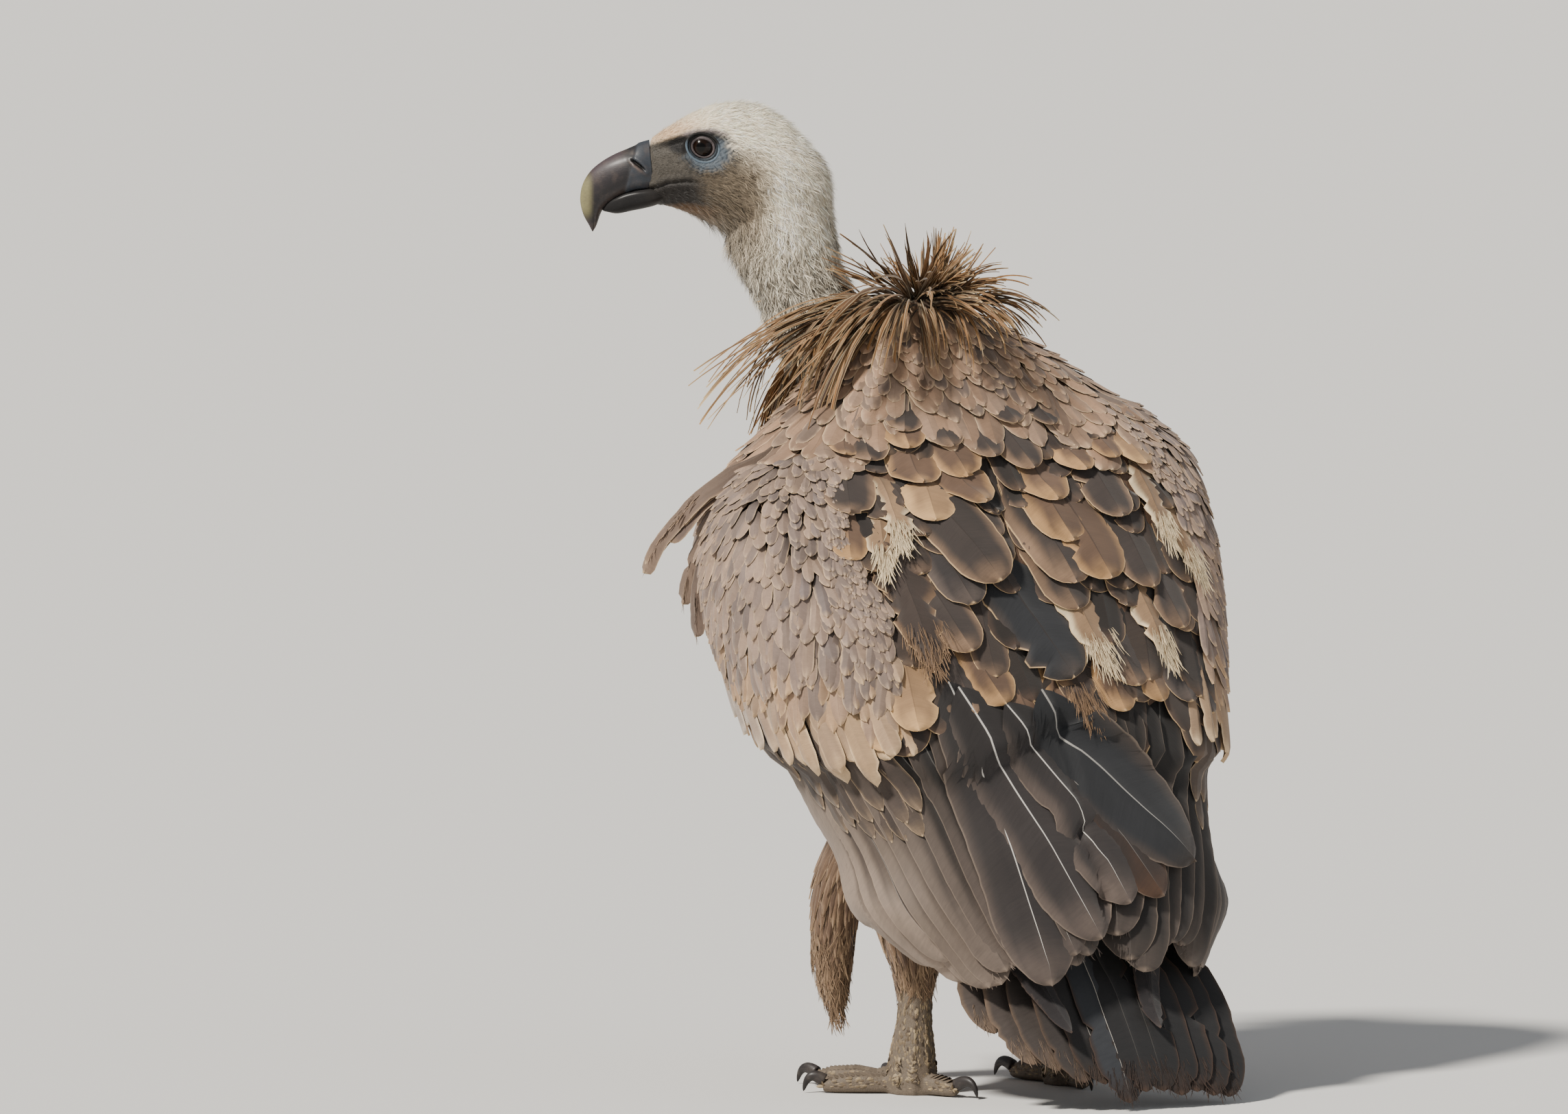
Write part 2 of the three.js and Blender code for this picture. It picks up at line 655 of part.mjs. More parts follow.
function ruffSpike(i) {
  const turn = (2 * Math.PI * (i + 0.5)) / RUFF_SPIKES;
  const behind = smooth(0.5 + 0.5 * Math.sin(turn));
  const uneven = Math.sin(i * 2.4) * 0.5 + Math.sin(i * 5.1) * 0.5;
  const root = ruffRing(turn);
  const outward = new THREE.Vector3(Math.cos(turn), Math.sin(turn), 0);
  const length = 62 + 14 * Math.cos(turn - RUFF_SWEEP) + 11 * uneven;
  const rise = mix(-0.75, 0.42, behind) + 0.34 * Math.sin(i * 3.7);
  const start = root.clone().addScaledVector(outward, -10);
  const elbow = root.clone().addScaledVector(outward, length * 0.5).add(new THREE.Vector3(0, 0, length * rise * 0.75 + 3));
  const tip = root.clone().addScaledVector(outward, length * 0.95).add(new THREE.Vector3(0, 0, length * rise));
  const places = [
    [...start.toArray(), 8, 5],
    [...elbow.toArray(), 6, 3.2],
    [...tip.toArray(), 0.8, 0.6],
  ];
  return limb(places, { count: 3, across: new THREE.Vector3(-Math.sin(turn), Math.cos(turn), 0), steps: 1 });
}

function ruff() {
  const sections = 16;
  const points = [];
  const around = 6;
  for (let i = 0; i < sections; i++) {
    const turn = (2 * Math.PI * i) / sections;
    const outward = new THREE.Vector3(Math.cos(turn), Math.sin(turn), 0);
    const flare = outward.clone().multiplyScalar(0.9).setZ(0.55 * Math.sin(turn)).normalize();
    const lift = new THREE.Vector3(-Math.sin(turn), Math.cos(turn), 0).cross(flare).multiplyScalar(-1);
    points.push(...oval(ruffRing(turn), flare, lift, RUFF.spread, RUFF.roll, around));
  }
  const triangles = [];
  for (let i = 0; i < sections; i++)
    for (let k = 0; k < around; k++) {
      const a = i * around + k;
      const b = i * around + ((k + 1) % around);
      const next = (n) => (n + around) % (sections * around);
      triangles.push([a, b, next(b)], [a, next(b), next(a)]);
    }
  const spikes = Array.from({ length: RUFF_SPIKES }, (_, i) => ruffSpike(i));
  return joined(closed(points, triangles), ...spikes);
}

// ---------------------------------------------------------------- legs
// The feathered thigh, and the long feathers that hang in front of it: x, y, z, half width, half depth.
const THIGH_LINE = [
  [70, -22, 236, 36, 52],
  [72, -24, 200, 40, 56],
  [72, -18, 165, 35, 48],
  [70, -6, 128, 25, 33],
  [68, 2, 96, 17, 20],
];
const TROUSER_LINE = [
  [80, -50, 196, 26, 34],
  [84, -74, 158, 22, 26],
  [86, -86, 118, 17, 19],
  [86, -88, 82, 12, 14],
  [84, -84, 50, 4, 5],
];
const SHANK_LINE = [
  [68, 4, 112, 12, 13],
  [68, 3, 82, 12.5, 13.5],
  [68, 1, 54, 13, 14.5],
  [68, -2, 30, 17, 19],
  [68, -3, 12, 19, 22],
  [68, -3, -3, 18, 21],
];
// Toes: turn from straight ahead, length, claw length, half width at the root.
const TOES = [
  { name: "middle", turn: 0, length: 92, claw: 27, half: 10 },
  { name: "outer", turn: 38, length: 66, claw: 22, half: 9 },
  { name: "inner", turn: -34, length: 58, claw: 28, half: 9 },
  { name: "hind", turn: 176, length: 46, claw: 30, half: 9 },
];

const mirrored = (rows, side) => rows.map(([x, ...rest]) => [side * x, ...rest]);

/** Unit vector of a toe on the floor. */
function toeHeading(toe, side) {
  const turn = FOOT.turnedOut + THREE.MathUtils.degToRad(toe.turn);
  return new THREE.Vector3(side * Math.sin(turn), -Math.cos(turn), 0);
}

function toeSolid(toe, side) {
  const heading = toeHeading(toe, side);
  const knuckles = [0, 0.3, 0.52, 0.78, 1];
  const pads = [1.15, 0.92, 1.05, 0.95, 0.62];
  const places = knuckles.map((share, i) => {
    const p = new THREE.Vector3(side * FOOT.x, FOOT.y - 3, 0).addScaledVector(heading, toe.length * share);
    const half = toe.half * pads[i] * mix(1, 0.86, share);
    return [p.x, p.y, half * (i === 4 ? 1.05 : 0.88) + (i === 0 ? 4 : 0), half, half];
  });
  return limb(places, { count: 6, across: new THREE.Vector3(-heading.y, heading.x, 0), steps: 1 });
}

/** A hooked claw that springs from the end of a toe and curves down almost to the floor. */
function claw(toe, side, grow = 0) {
  const heading = toeHeading(toe, side);
  const start = new THREE.Vector3(side * FOOT.x, FOOT.y - 3, 0).addScaledVector(heading, toe.length - 4);
  const arc = [0, 0.25, 0.5, 0.75, 1].map((t) => {
    const turn = mix(0.2, 1.9, t);
    const reach = toe.claw * 0.92 * Math.sin(turn * 0.8) * 0.9;
    const p = start.clone().addScaledVector(heading, reach);
    const z = mix(9.5, 1.4, t ** 2) + 4.2 * Math.sin(Math.PI * Math.min(1, t * 1.15));
    const half = mix(4.6, 0.5, t ** 0.8);
    return [p.x, p.y, z, half, half];
  });
  return limb(arc, { count: 5, grow, across: new THREE.Vector3(-heading.y, heading.x, 0), steps: 1 });
}

/** Everything below the floor, to cut the soles flat. */
const underFloor = () => solid(new THREE.BoxGeometry(900, 900, 60).translate(0, 0, FLOOR - 30));

const SHANK_SHAPE = { count: 9, steps: 1 };

const foot = (side) =>
  without(
    joined(limb(mirrored(SHANK_LINE, side), SHANK_SHAPE), ...TOES.map((toe) => toeSolid(toe, side))),
    underFloor(),
    ...TOES.map((toe) => solid(claw(toe, side, JOIN_GAP))),
  );

const thigh = (side, cutters) => {
  const shankHole = solid(limb(mirrored(SHANK_LINE, side), { ...SHANK_SHAPE, grow: JOIN_GAP }));
  return without(
    joined(limb(mirrored(THIGH_LINE, side), { count: 10 }), limb(mirrored(TROUSER_LINE, side), { count: 7, steps: 1 })),
    shankHole,
    ...cutters,
  );
};

// ---------------------------------------------------------------- the bird
const FINISH = {
  down: { color: "#d9c7ab", roughness: 0.9, metalness: 0 },
  mantle: { color: "#a5836a", roughness: 0.85, metalness: 0 },
  coverts: { color: "#a98b70", roughness: 0.8, metalness: 0 },
  flight: { color: "#4b423d", roughness: 0.6, metalness: 0 },
  tail: { color: "#332d2c", roughness: 0.65, metalness: 0 },
  ruff: { color: "#8a6038", roughness: 0.85, metalness: 0 },
  thigh: { color: "#a8714d", roughness: 0.9, metalness: 0 },
  bill: { color: "#35323a", roughness: 0.35, metalness: 0 },
  eye: { color: "#1a100c", roughness: 0.05, metalness: 0 },
  scale: { color: "#6e6255", roughness: 0.75, metalness: 0 },
  claw: { color: "#1d1b1c", roughness: 0.35, metalness: 0 },
};

const bird = new THREE.Group();
bird.name = "griffon_vulture";
const add = (name, geometry, finish) => {
  const mesh = new THREE.Mesh(geometry, new THREE.MeshStandardMaterial(finish));
  mesh.name = name;
  bird.add(mesh);
};

const trunkHole = solid(trunk(SLOPE_GAP));
const neckHole = solid(neck(JOIN_GAP));
const headHole = solid(head(JOIN_GAP));

add("trunk", trunk(), FINISH.mantle);
add("neck", largest(without(solid(neck()), trunkHole, solid(head(SLOPE_GAP)))), FINISH.down);
add("ruff", largest(without(ruff(), trunkHole, neckHole)), FINISH.ruff);

const lower = solid(lowerBill());
const lowerHole = solid(lowerBill(JOIN_GAP));
const upper = without(solid(upperBill()), headHole, lowerHole, solid(nostril()));
add("head", largest(without(solid(head()), ...[1, -1].flatMap((side) => [solid(orbit(side)), solid(eyeball(side, JOIN_GAP))]))), FINISH.down);
add("upper_bill", largest(upper), FINISH.bill);
add("lower_bill", largest(without(lower, headHole)), FINISH.bill);

for (const [name, side] of [["left", 1], ["right", -1]]) {
  add(`${name}_eye`, eyeball(side), FINISH.eye);
  const loose = side > 0 ? [looseCovert()] : [];
  add(`${name}_coverts`, largest(joined(coverts(side), ...loose)), FINISH.coverts);
  add(`${name}_scapulars`, scapulars(side), FINISH.mantle);
  add(`${name}_flight_feathers`, flightFeathers(side), FINISH.flight);
  add(`${name}_primaries`, primaries(side), FINISH.flight);
  add(`${name}_thigh`, largest(thigh(side, [trunkHole])), FINISH.thigh);
  add(`${name}_foot`, largest(foot(side)), FINISH.scale);
  for (const toe of TOES) add(`${name}_${toe.name}_claw`, claw(toe, side), FINISH.claw);
}
add("tail", largest(without(solid(tail()), trunkHole, underFloor())), FINISH.tail);

// The part's origin is under the middle of the whole bird, on the floor.
bird.updateMatrixWorld(true);
const bounds = new THREE.Box3().setFromObject(bird);
const middle = bounds.getCenter(new THREE.Vector3());
bird.position.set(-middle.x, -middle.y, -bounds.min.z);

export default bird;
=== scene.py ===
"""A griffon vulture at rest: its skin, feathers, down, bill, eyes and feet round the packed frame."""

import logging
import math
from dataclasses import dataclass, field
from enum import Enum
from typing import Callable, Sequence

import bpy
import numpy as np
from mathutils import Euler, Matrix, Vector
from mathutils.bvhtree import BVHTree


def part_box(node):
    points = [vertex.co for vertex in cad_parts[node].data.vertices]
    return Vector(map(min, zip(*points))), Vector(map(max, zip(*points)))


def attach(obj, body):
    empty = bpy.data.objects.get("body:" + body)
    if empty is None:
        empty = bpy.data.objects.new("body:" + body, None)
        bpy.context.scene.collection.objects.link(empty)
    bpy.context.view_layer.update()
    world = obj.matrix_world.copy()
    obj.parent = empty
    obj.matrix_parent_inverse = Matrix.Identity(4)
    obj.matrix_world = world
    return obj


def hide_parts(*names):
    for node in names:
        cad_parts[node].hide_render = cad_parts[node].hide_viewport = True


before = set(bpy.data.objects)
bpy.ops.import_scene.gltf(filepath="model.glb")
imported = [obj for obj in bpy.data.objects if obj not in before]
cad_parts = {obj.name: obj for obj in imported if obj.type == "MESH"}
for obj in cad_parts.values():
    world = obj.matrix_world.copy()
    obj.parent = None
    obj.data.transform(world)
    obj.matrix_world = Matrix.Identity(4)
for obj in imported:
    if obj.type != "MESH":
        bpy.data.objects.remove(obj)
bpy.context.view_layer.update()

log = logging.getLogger("vulture")
Array = np.ndarray
Random = np.random.Generator
Object, Material = bpy.types.Object, bpy.types.Material
Node, NodeTree, Socket = bpy.types.Node, bpy.types.NodeTree, bpy.types.NodeSocket

MM = 0.001
BAKE_PATCH = 0.003  # width of one feather's patch on the baking map
SEED = 41

# The bird's own axes in millimetres: it faces -Y, its left is +X, and its head turns to its left.
UP = np.array([0.0, 0.0, 1.0])
SKULL = np.array([80.0, -198.0, 688.0])
HEADING = math.radians(-30)
FORWARD = np.array([math.cos(HEADING), math.sin(HEADING), 0.0])
LEFTWARD = np.array([-math.sin(HEADING), math.cos(HEADING), 0.0])
EYE = np.array([47.7, 17.6, 12.3])
EYE_RADIUS = 10.4


class Side(Enum):
    """Which half of the bird a piece belongs to."""

    LEFT = 1
    RIGHT = -1

    @property
    def word(self) -> str:
        """The side's name as the frame's nodes write it."""
        return self.name.lower()


# ---- numbers and shapes
def tint(code: str) -> Array:
    """A linear colour from six sRGB digits such as "a5836a"."""
    srgb = np.array([int(code[i : i + 2], 16) for i in (0, 2, 4)]) / 255
    return np.where(srgb <= 0.04045, srgb / 12.92, ((srgb + 0.055) / 1.055) ** 2.4)


def smooth(low: float, high: float, x: Array) -> Array:
    """An eased step from 0 at low to 1 at high."""
    t = np.clip((np.asarray(x, float) - low) / (high - low), 0, 1)
    return t * t * (3 - 2 * t)


def mix(a: Array, b: Array, t: Array) -> Array:
    """The value a share t of the way from a to b."""
    return a + (b - a) * t


def unit(v: Array) -> Array:
    """Vectors scaled to a length of one."""
    return v / np.maximum(np.linalg.norm(v, axis=-1, keepdims=True), 1e-9)


def bump(x: Array, width: float) -> Array:
    """A rounded hill of height one at x = 0."""
    return np.exp(-((x / width) ** 2))


def ramp(low: str, high: str, share: Array) -> Array:
    """Colours between two codes."""
    return mix(tint(low), tint(high), share)


def stack(*parts: Array | float) -> Array:
    """Values side by side, as a last axis."""
    return np.stack(np.broadcast_arrays(*parts), -1)


def ring_turns(count: int) -> Array:
    """Angles in even steps round a full turn."""
    return 2 * np.pi * np.arange(count) / count


def soften(grid: Array) -> Array:
    """One pass of softening along both ways of a grid whose rows are rings."""
    grid = 0.5 * grid + 0.25 * (np.roll(grid, 1, 1) + np.roll(grid, -1, 1))
    padded = np.concatenate([grid[:1], grid, grid[-1:]])
    return 0.5 * grid + 0.25 * (padded[:-2] + padded[2:])


class Profile:
    """Values that run smoothly through rows of a key followed by those values."""

    def __init__(self, rows: Sequence[Sequence[float]]) -> None:
        """Sorts the rows and finds the slope at each key."""
        data = np.array(sorted(rows), float)
        self.keys, self.values = data[:, 0], data[:, 1:]
        self.slopes = np.gradient(self.values, self.keys, axis=0)

    def __call__(self, key: Array) -> Array:
        """Reads the values, with keys clipped to the range of the rows.

        Args:
            key: Where they are read.

        Returns:
            The values at each key, as a last axis.
        """
        key = np.clip(np.asarray(key, float), self.keys[0], self.keys[-1])
        i = np.clip(np.searchsorted(self.keys, key, side="right") - 1, 0, len(self.keys) - 2)
        span = (self.keys[i + 1] - self.keys[i])[..., None]
        t = (key - self.keys[i])[..., None] / span
        a, b = self.values[i], self.values[i + 1]
        rise, fall = self.slopes[i] * span, self.slopes[i + 1] * span
        between = a * (1 + 2 * t) * (1 - t) ** 2 + b * t * t * (3 - 2 * t)
        return between + rise * t * (1 - t) ** 2 - fall * t * t * (1 - t)


def bird_origin() -> Array:
    """Where the bird's own origin lies in the frame, in millimetres, found from its two eyes."""
    corners = [np.array(c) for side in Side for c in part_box(f"{side.word}_eye")]
    middle = sum(corners) / len(corners) / MM
    return middle - (SKULL + EYE[0] * FORWARD + EYE[2] * UP)


ORIGIN = bird_origin()


def packed_shape(names: Sequence[str]) -> tuple[BVHTree, list[int]]:
    """Gathers packed nodes in the bird's frame.

    Args:
        names: The nodes' names.

    Returns:
        A search tree of their faces, and for each face the number of its node in names.
    """
    corners, faces, owners = [], [], []
    for number, name in enumerate(names):
        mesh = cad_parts[name].data
        base = len(corners)
        corners += [tuple(np.array(v.co) / MM - ORIGIN) for v in mesh.vertices]
        faces += [tuple(base + i for i in p.vertices) for p in mesh.polygons]
        owners += [number] * len(mesh.polygons)
    return BVHTree.FromPolygons(corners, faces), owners


def in_scene(name: str, data: bpy.types.ID) -> Object:
    """A new object that stands in the scene."""
    made = bpy.data.objects.new(name, data)
    bpy.context.scene.collection.objects.link(made)
    return made


def as_shown(made: Object) -> bpy.types.Mesh:
    """A plain mesh of an object with its modifiers applied."""
    return bpy.data.meshes.new_from_object(made.evaluated_get(bpy.context.evaluated_depsgraph_get()))


def head_point(x: Array, y: Array, z: Array) -> Array:
    """Points of the head's own frame (forward, left, up) in the bird's frame."""
    x, y, z = (np.asarray(v, float)[..., None] for v in (x, y, z))
    return SKULL + x * FORWARD + y * LEFTWARD + z * UP


def in_head(points: Array) -> Array:
    """Points of the bird's frame in the head's own frame."""
    rel = points - SKULL
    return stack(rel @ FORWARD, rel @ LEFTWARD, rel @ UP)


@dataclass
class Surface:
    """Points, faces and what they carry, gathered before they become one mesh.

    Points are in the bird's frame in millimetres. They carry maps, colours, and single values or vectors.
    """

    MAPS = ("vane", "OFBake")
    COLOURS = ("mid", "rim")

    points: list[Array] = field(default_factory=list)
    faces: list[Array] = field(default_factory=list)
    carried: dict[str, list[Array]] = field(default_factory=dict)
    count: int = 0

    def add(self, points: Array, faces: Sequence[Array], **carried: Array) -> None:
        """Adds one shape.

        Args:
            points: Its points, one to a row.
            faces: Arrays of point numbers, each of triangles or of quads.
            carried: What each point carries, by the name of the map, colour or value.
        """
        self.points.append(points)
        self.faces += [f + self.count for f in faces if len(f)]
        for name, data in carried.items():
            self.carried.setdefault(name, []).append(data)
        self.count += len(points)

    def build(self, name: str) -> Object:
        """The gathered shapes as one smooth-shaded object at the origin.

        Args:
            name: The object's name.

        Returns:
            The object.
        """
        mesh = bpy.data.meshes.new(name)
        co = (np.concatenate(self.points) + ORIGIN) * MM
        mesh.vertices.add(len(co))
        mesh.vertices.foreach_set("co", co.astype(np.float32).ravel())
        if self.faces:
            loops = np.concatenate([f.ravel() for f in self.faces])
            totals = np.concatenate([np.full(len(f), f.shape[1]) for f in self.faces])
            mesh.loops.add(len(loops))
            mesh.loops.foreach_set("vertex_index", loops.astype(np.int32))
            mesh.polygons.add(len(totals))
            starts = np.concatenate([[0], np.cumsum(totals)[:-1]])
            mesh.polygons.foreach_set("loop_start", starts.astype(np.int32))
            mesh.polygons.foreach_set("use_smooth", np.ones(len(totals), bool))
            mesh.update(calc_edges=True)
        for key, rows in self.carried.items():
            data = np.concatenate(rows).astype(np.float32)
            if key in self.MAPS:
                layer = mesh.uv_layers.new(name=key, do_init=False)
                layer.uv.foreach_set("vector", data[loops].ravel())
            elif key in self.COLOURS:
                set_colour(mesh, key, data)
            elif data.ndim == 2:
                mesh.attributes.new(key, "FLOAT_VECTOR", "POINT").data.foreach_set("vector", data.ravel())
            else:
                mesh.attributes.new(key, "FLOAT", "POINT").data.foreach_set("value", data)
        mesh.validate()
        return in_scene(name, mesh)


def set_colour(mesh: bpy.types.Mesh, name: str, rgb: Array) -> None:
    """Gives each point of a mesh its colour."""
    rgba = np.concatenate([rgb, np.ones((len(rgb), 1))], 1).astype(np.float32)
    mesh.attributes.new(name, "FLOAT_COLOR", "POINT").data.foreach_set("color", rgba.ravel())


def grid_faces(rows: int, columns: int, wrap: bool = False) -> Array:
    """Quads of a grid of points, facing along columns x rows.

    Args:
        rows: Rows of points.
        columns: Points in a row.
        wrap: Whether the last column joins the first.

    Returns:
        An array of four point numbers to a row.
    """
    i, j = np.meshgrid(np.arange(rows - 1), np.arange(columns if wrap else columns - 1), indexing="ij")
    k = (j + 1) % columns
    low, high = i * columns, (i + 1) * columns
    return stack(low + j, low + k, high + k, high + j).reshape(-1, 4)


def closed_loft(rings: Array) -> tuple[Array, list[Array]]:
    """Joins rings of points into a closed skin with a cap at each end.

    Args:
        rings: Points by ring and place in the ring, each ring turning the same way.

    Returns:
        The points and the faces, which face outwards when column x row does.
    """
    rows, columns, _ = rings.shape
    points = np.concatenate([rings.reshape(-1, 3), rings[:1].mean(1), rings[-1:].mean(1)])
    j = np.arange(columns)
    k = (j + 1) % columns
    last = (rows - 1) * columns
    low, high = stack(k, j, rows * columns), stack(last + j, last + k, rows * columns + 1)
    return points, [grid_faces(rows, columns, wrap=True), low, high]


# ---- the form of the body
class Contour:
    """The feathered body's form, as its distance from a bent upright axis at each turn and height.

    A turn is measured round the axis from straight behind, positive to the bird's left, in degrees.
    """

    AXIS = Profile([
        (94, 96), (170, 45), (220, 15), (270, -16), (320, -48), (370, -77),
        (415, -100), (455, -118), (510, -130), (560, -123), (600, -111),
    ])
    LOW, HIGH, STEP = 70.0, 602.0, 2.0
    REACH = 400.0

    def __init__(self, nodes: Sequence[str], blur: int) -> None:
        """Finds the form of packed nodes.

        Args:
            nodes: Their names.
            blur: How many times the form is softened.
        """
        self.nodes = list(nodes)
        self.heights = np.arange(self.LOW, self.HIGH, self.STEP)
        self.turns = np.arange(-180.0, 180.0, 1.0)
        self.radii, self.owners = self._cast()
        self._fill()
        self._open()
        for _ in range(blur):
            self.radii = soften(self.radii)

    def _cast(self) -> tuple[Array, Array]:
        """The outermost hit of a level ray at each turn and height, and the node that it struck."""
        tree, owners = packed_shape(self.nodes)
        radii = np.zeros((len(self.heights), len(self.turns)))
        struck = -np.ones(radii.shape, int)
        for i, height in enumerate(self.heights):
            centre = Vector((0, self.AXIS(height)[0], height))
            for j, turn in enumerate(np.radians(self.turns)):
                out = Vector((math.sin(turn), math.cos(turn), 0))
                place, _, index, gone = tree.ray_cast(centre + out * self.REACH, -out, self.REACH)
                if place is not None:
                    radii[i, j] = self.REACH - gone
                    struck[i, j] = owners[index]
        return radii, struck

    def _fill(self) -> None:
        """Carries the form on below the lowest hit at each turn."""
        for i in range(len(self.heights) - 2, -1, -1):
            empty = self.owners[i] < 0
            self.radii[i, empty] = self.radii[i + 1, empty] * 0.992

    def _open(self) -> None:
        """Takes off what stands out narrowly, such as a loose feather."""
        reach = 9
        for pick in (np.minimum, np.maximum):
            kept = self.radii.copy()
            for shift in range(-reach, reach + 1):
                moved = np.clip(np.arange(len(kept)) + shift, 0, len(kept) - 1)
                kept = pick(kept, self.radii[moved])
            self.radii = kept

    def carried(self, edge: float, below: float, flare: float) -> "Contour":
        """A copy whose wings run on level past their front edge and flare a little over the thighs.

        Args:
            edge: The turn from which the form is carried on.
            below: The height above which nothing changes.
            flare: How far the lower wing stands out, in mm.

        Returns:
            The copy.
        """
        made = object.__new__(Contour)
        made.__dict__.update(self.__dict__)
        made.radii = self.radii.copy()
        share = smooth(below, below - 14, self.heights)[:, None]
        for side in (1, -1):
            past, held = self.turns * side >= edge, self.radii[:, self.turns == edge * side]
            made.radii[:, past] = mix(made.radii[:, past], np.maximum(held, made.radii[:, past]), share)
        hang = bump(self.heights - 140, 34)[:, None] * smooth(45, 92, np.abs(self.turns))[None]
        made.radii += flare * hang
        return made

    def radius(self, turn: Array, height: Array) -> Array:
        """How far the form lies from the axis.

        Args:
            turn: Each turn, in degrees.
            height: Each height.

        Returns:
            The distances.
        """
        row = np.clip((height - self.LOW) / self.STEP, 0, len(self.heights) - 1.001)
        column = np.mod(turn + 180.0, 360.0)
        i, j = row.astype(int), column.astype(int) % 360
        u, v = row - i, column - np.floor(column)
        k = (j + 1) % 360
        r = self.radii
        return (r[i, j] * (1 - v) + r[i, k] * v) * (1 - u) + (r[i + 1, j] * (1 - v) + r[i + 1, k] * v) * u

    def point(self, turn: Array, height: Array) -> Array:
        """The point of the form at each turn and height."""
        turn, height = np.broadcast_arrays(np.asarray(turn, float), np.asarray(height, float))
        r, a = self.radius(turn, height), np.radians(turn)
        return stack(r * np.sin(a), self.AXIS(height)[..., 0] + r * np.cos(a), height)

    def place(self, points: Array) -> tuple[Array, Array]:
        """The turn, in degrees, and height of points."""
        height = points[..., 2]
        return np.degrees(np.arctan2(points[..., 0], points[..., 1] - self.AXIS(height)[..., 0])), height

    def settle(self, points: Array) -> Array:
        """Points moved level onto the form."""
        return self.point(*self.place(points))

    def normal(self, points: Array) -> Array:
        """The outward direction of the form next to points."""
        turn, height = self.place(points)
        across = self.point(turn + 1.5, height) - self.point(turn - 1.5, height)
        rise = self.point(turn, np.minimum(height + 3, self.HIGH - 3)) - self.point(turn, height - 3)
        return unit(np.cross(rise, across))

    def extent(self, word: str) -> Callable[[Array], tuple[Array, Array]]:
        """How high a node reaches at each turn.

        Args:
            word: The node's name.

        Returns:
            A function of turn that gives the lowest and highest height, level past the node's ends.
        """
        wanted = self.owners == self.nodes.index(word)
        known = np.flatnonzero(wanted.sum(0) > 8)
        low = self.heights[wanted.argmax(0)][known]
        high = self.heights[len(self.heights) - 1 - wanted[::-1].argmax(0)][known]
        soft = np.array([1, 2, 3, 2, 1]) / 9
        ends = [np.convolve(np.pad(v, 2, "edge"), soft, "valid") for v in (low, high)]
        return lambda turn: tuple(np.interp(turn, self.turns[known], end) for end in ends)


# ---- feathers
@dataclass
class Shafts:
    """The lines of many feathers from root to tip, with the way across and the way out at each step."""

    DRAWN_STEPS = 18

    points: Array
    across: Array
    out: Array

    @classmethod
    def along(cls, points: Array, out: Array) -> "Shafts":
        """Shafts through points by feather and step, with the rough way out at each or for each feather."""
        ahead = unit(np.gradient(points, axis=1))
        across = unit(np.cross(ahead, np.broadcast_to(out, points.shape)))
        return cls(points, across, unit(np.cross(across, ahead)))

    @classmethod
    def between(cls, contour: Contour, roots: Array, tips: Array, stand: Array | float = 0.0) -> "Shafts":
        """Shafts drawn over the body's form.

        Args:
            contour: The form.
            roots: The turn and height of each root.
            tips: The turn and height of each tip.
            stand: How far each tip stands out from the form.

        Returns:
            The shafts.
        """
        share = np.linspace(0, 1, cls.DRAWN_STEPS + 1)
        turn, height = (mix(roots[:, i, None], tips[:, i, None], share) for i in (0, 1))
        points = contour.point(turn, height)
        out = contour.normal(points)
        rise = np.broadcast_to(stand, len(roots))[:, None] * share**1.5
        return cls.along(points + out * rise[..., None], out)

    @classmethod
    def over(
        cls, contour: Contour, turn: Array, height: Array, lean: Array, length: Array, bend: Array, steps: int
    ) -> "Shafts":
        """Shafts that keep to the body's form.

        Args:
            contour: The form.
            turn: Each root's turn in degrees.
            height: Each root's height.
            lean: How far each starts from straight down, in degrees, positive to greater turns.
            length: Each one's length.
            bend: How far each turns on its way, in degrees, the same way round as lean.
            steps: The steps along each.

        Returns:
            The shafts.
        """
        at = contour.point(turn, height)
        out = contour.normal(at)
        down = unit(-UP - (out @ -UP)[:, None] * out)
        side = np.cross(down, out)
        lean = np.radians(lean)[:, None]
        ahead = down * np.cos(lean) + side * np.sin(lean)
        kept = []
        stride = (length / steps)[:, None]
        swing = np.radians(bend / steps)[:, None]
        for _ in range(steps + 1):
            out = contour.normal(at)
            ahead = unit(ahead - (ahead * out).sum(-1, keepdims=True) * out)
            side = np.cross(ahead, out)
            kept.append((at, side, out))
            ahead = ahead * np.cos(swing) + side * np.sin(swing)
            at = contour.settle(at + ahead * stride)
        return cls(*(np.stack(v, 1) for v in zip(*kept)))

    def reversed(self) -> "Shafts":
        """The same lines run from their other end."""
        return Shafts(self.points[:, ::-1], -self.across[:, ::-1], self.out[:, ::-1])

    def lengths(self) -> Array:
        """The length of each shaft."""
        return np.linalg.norm(np.diff(self.points, axis=1), axis=2).sum(1)

    def at(self, share: Array) -> tuple[Array, Array, Array]:
        """Reads the shafts between their steps.

        Args:
            share: Shares of the length, by shaft and place.

        Returns:
            The points, the ways across and the ways out.
        """
        steps = self.points.shape[1] - 1
        place = np.clip(share, 0, 1) * steps
        i = np.minimum(place.astype(int), steps - 1)
        t = (place - i)[..., None]
        who = np.arange(len(self.points))[:, None]
        return tuple(mix(v[who, i], v[who, i + 1], t) for v in (self.points, self.across, self.out))


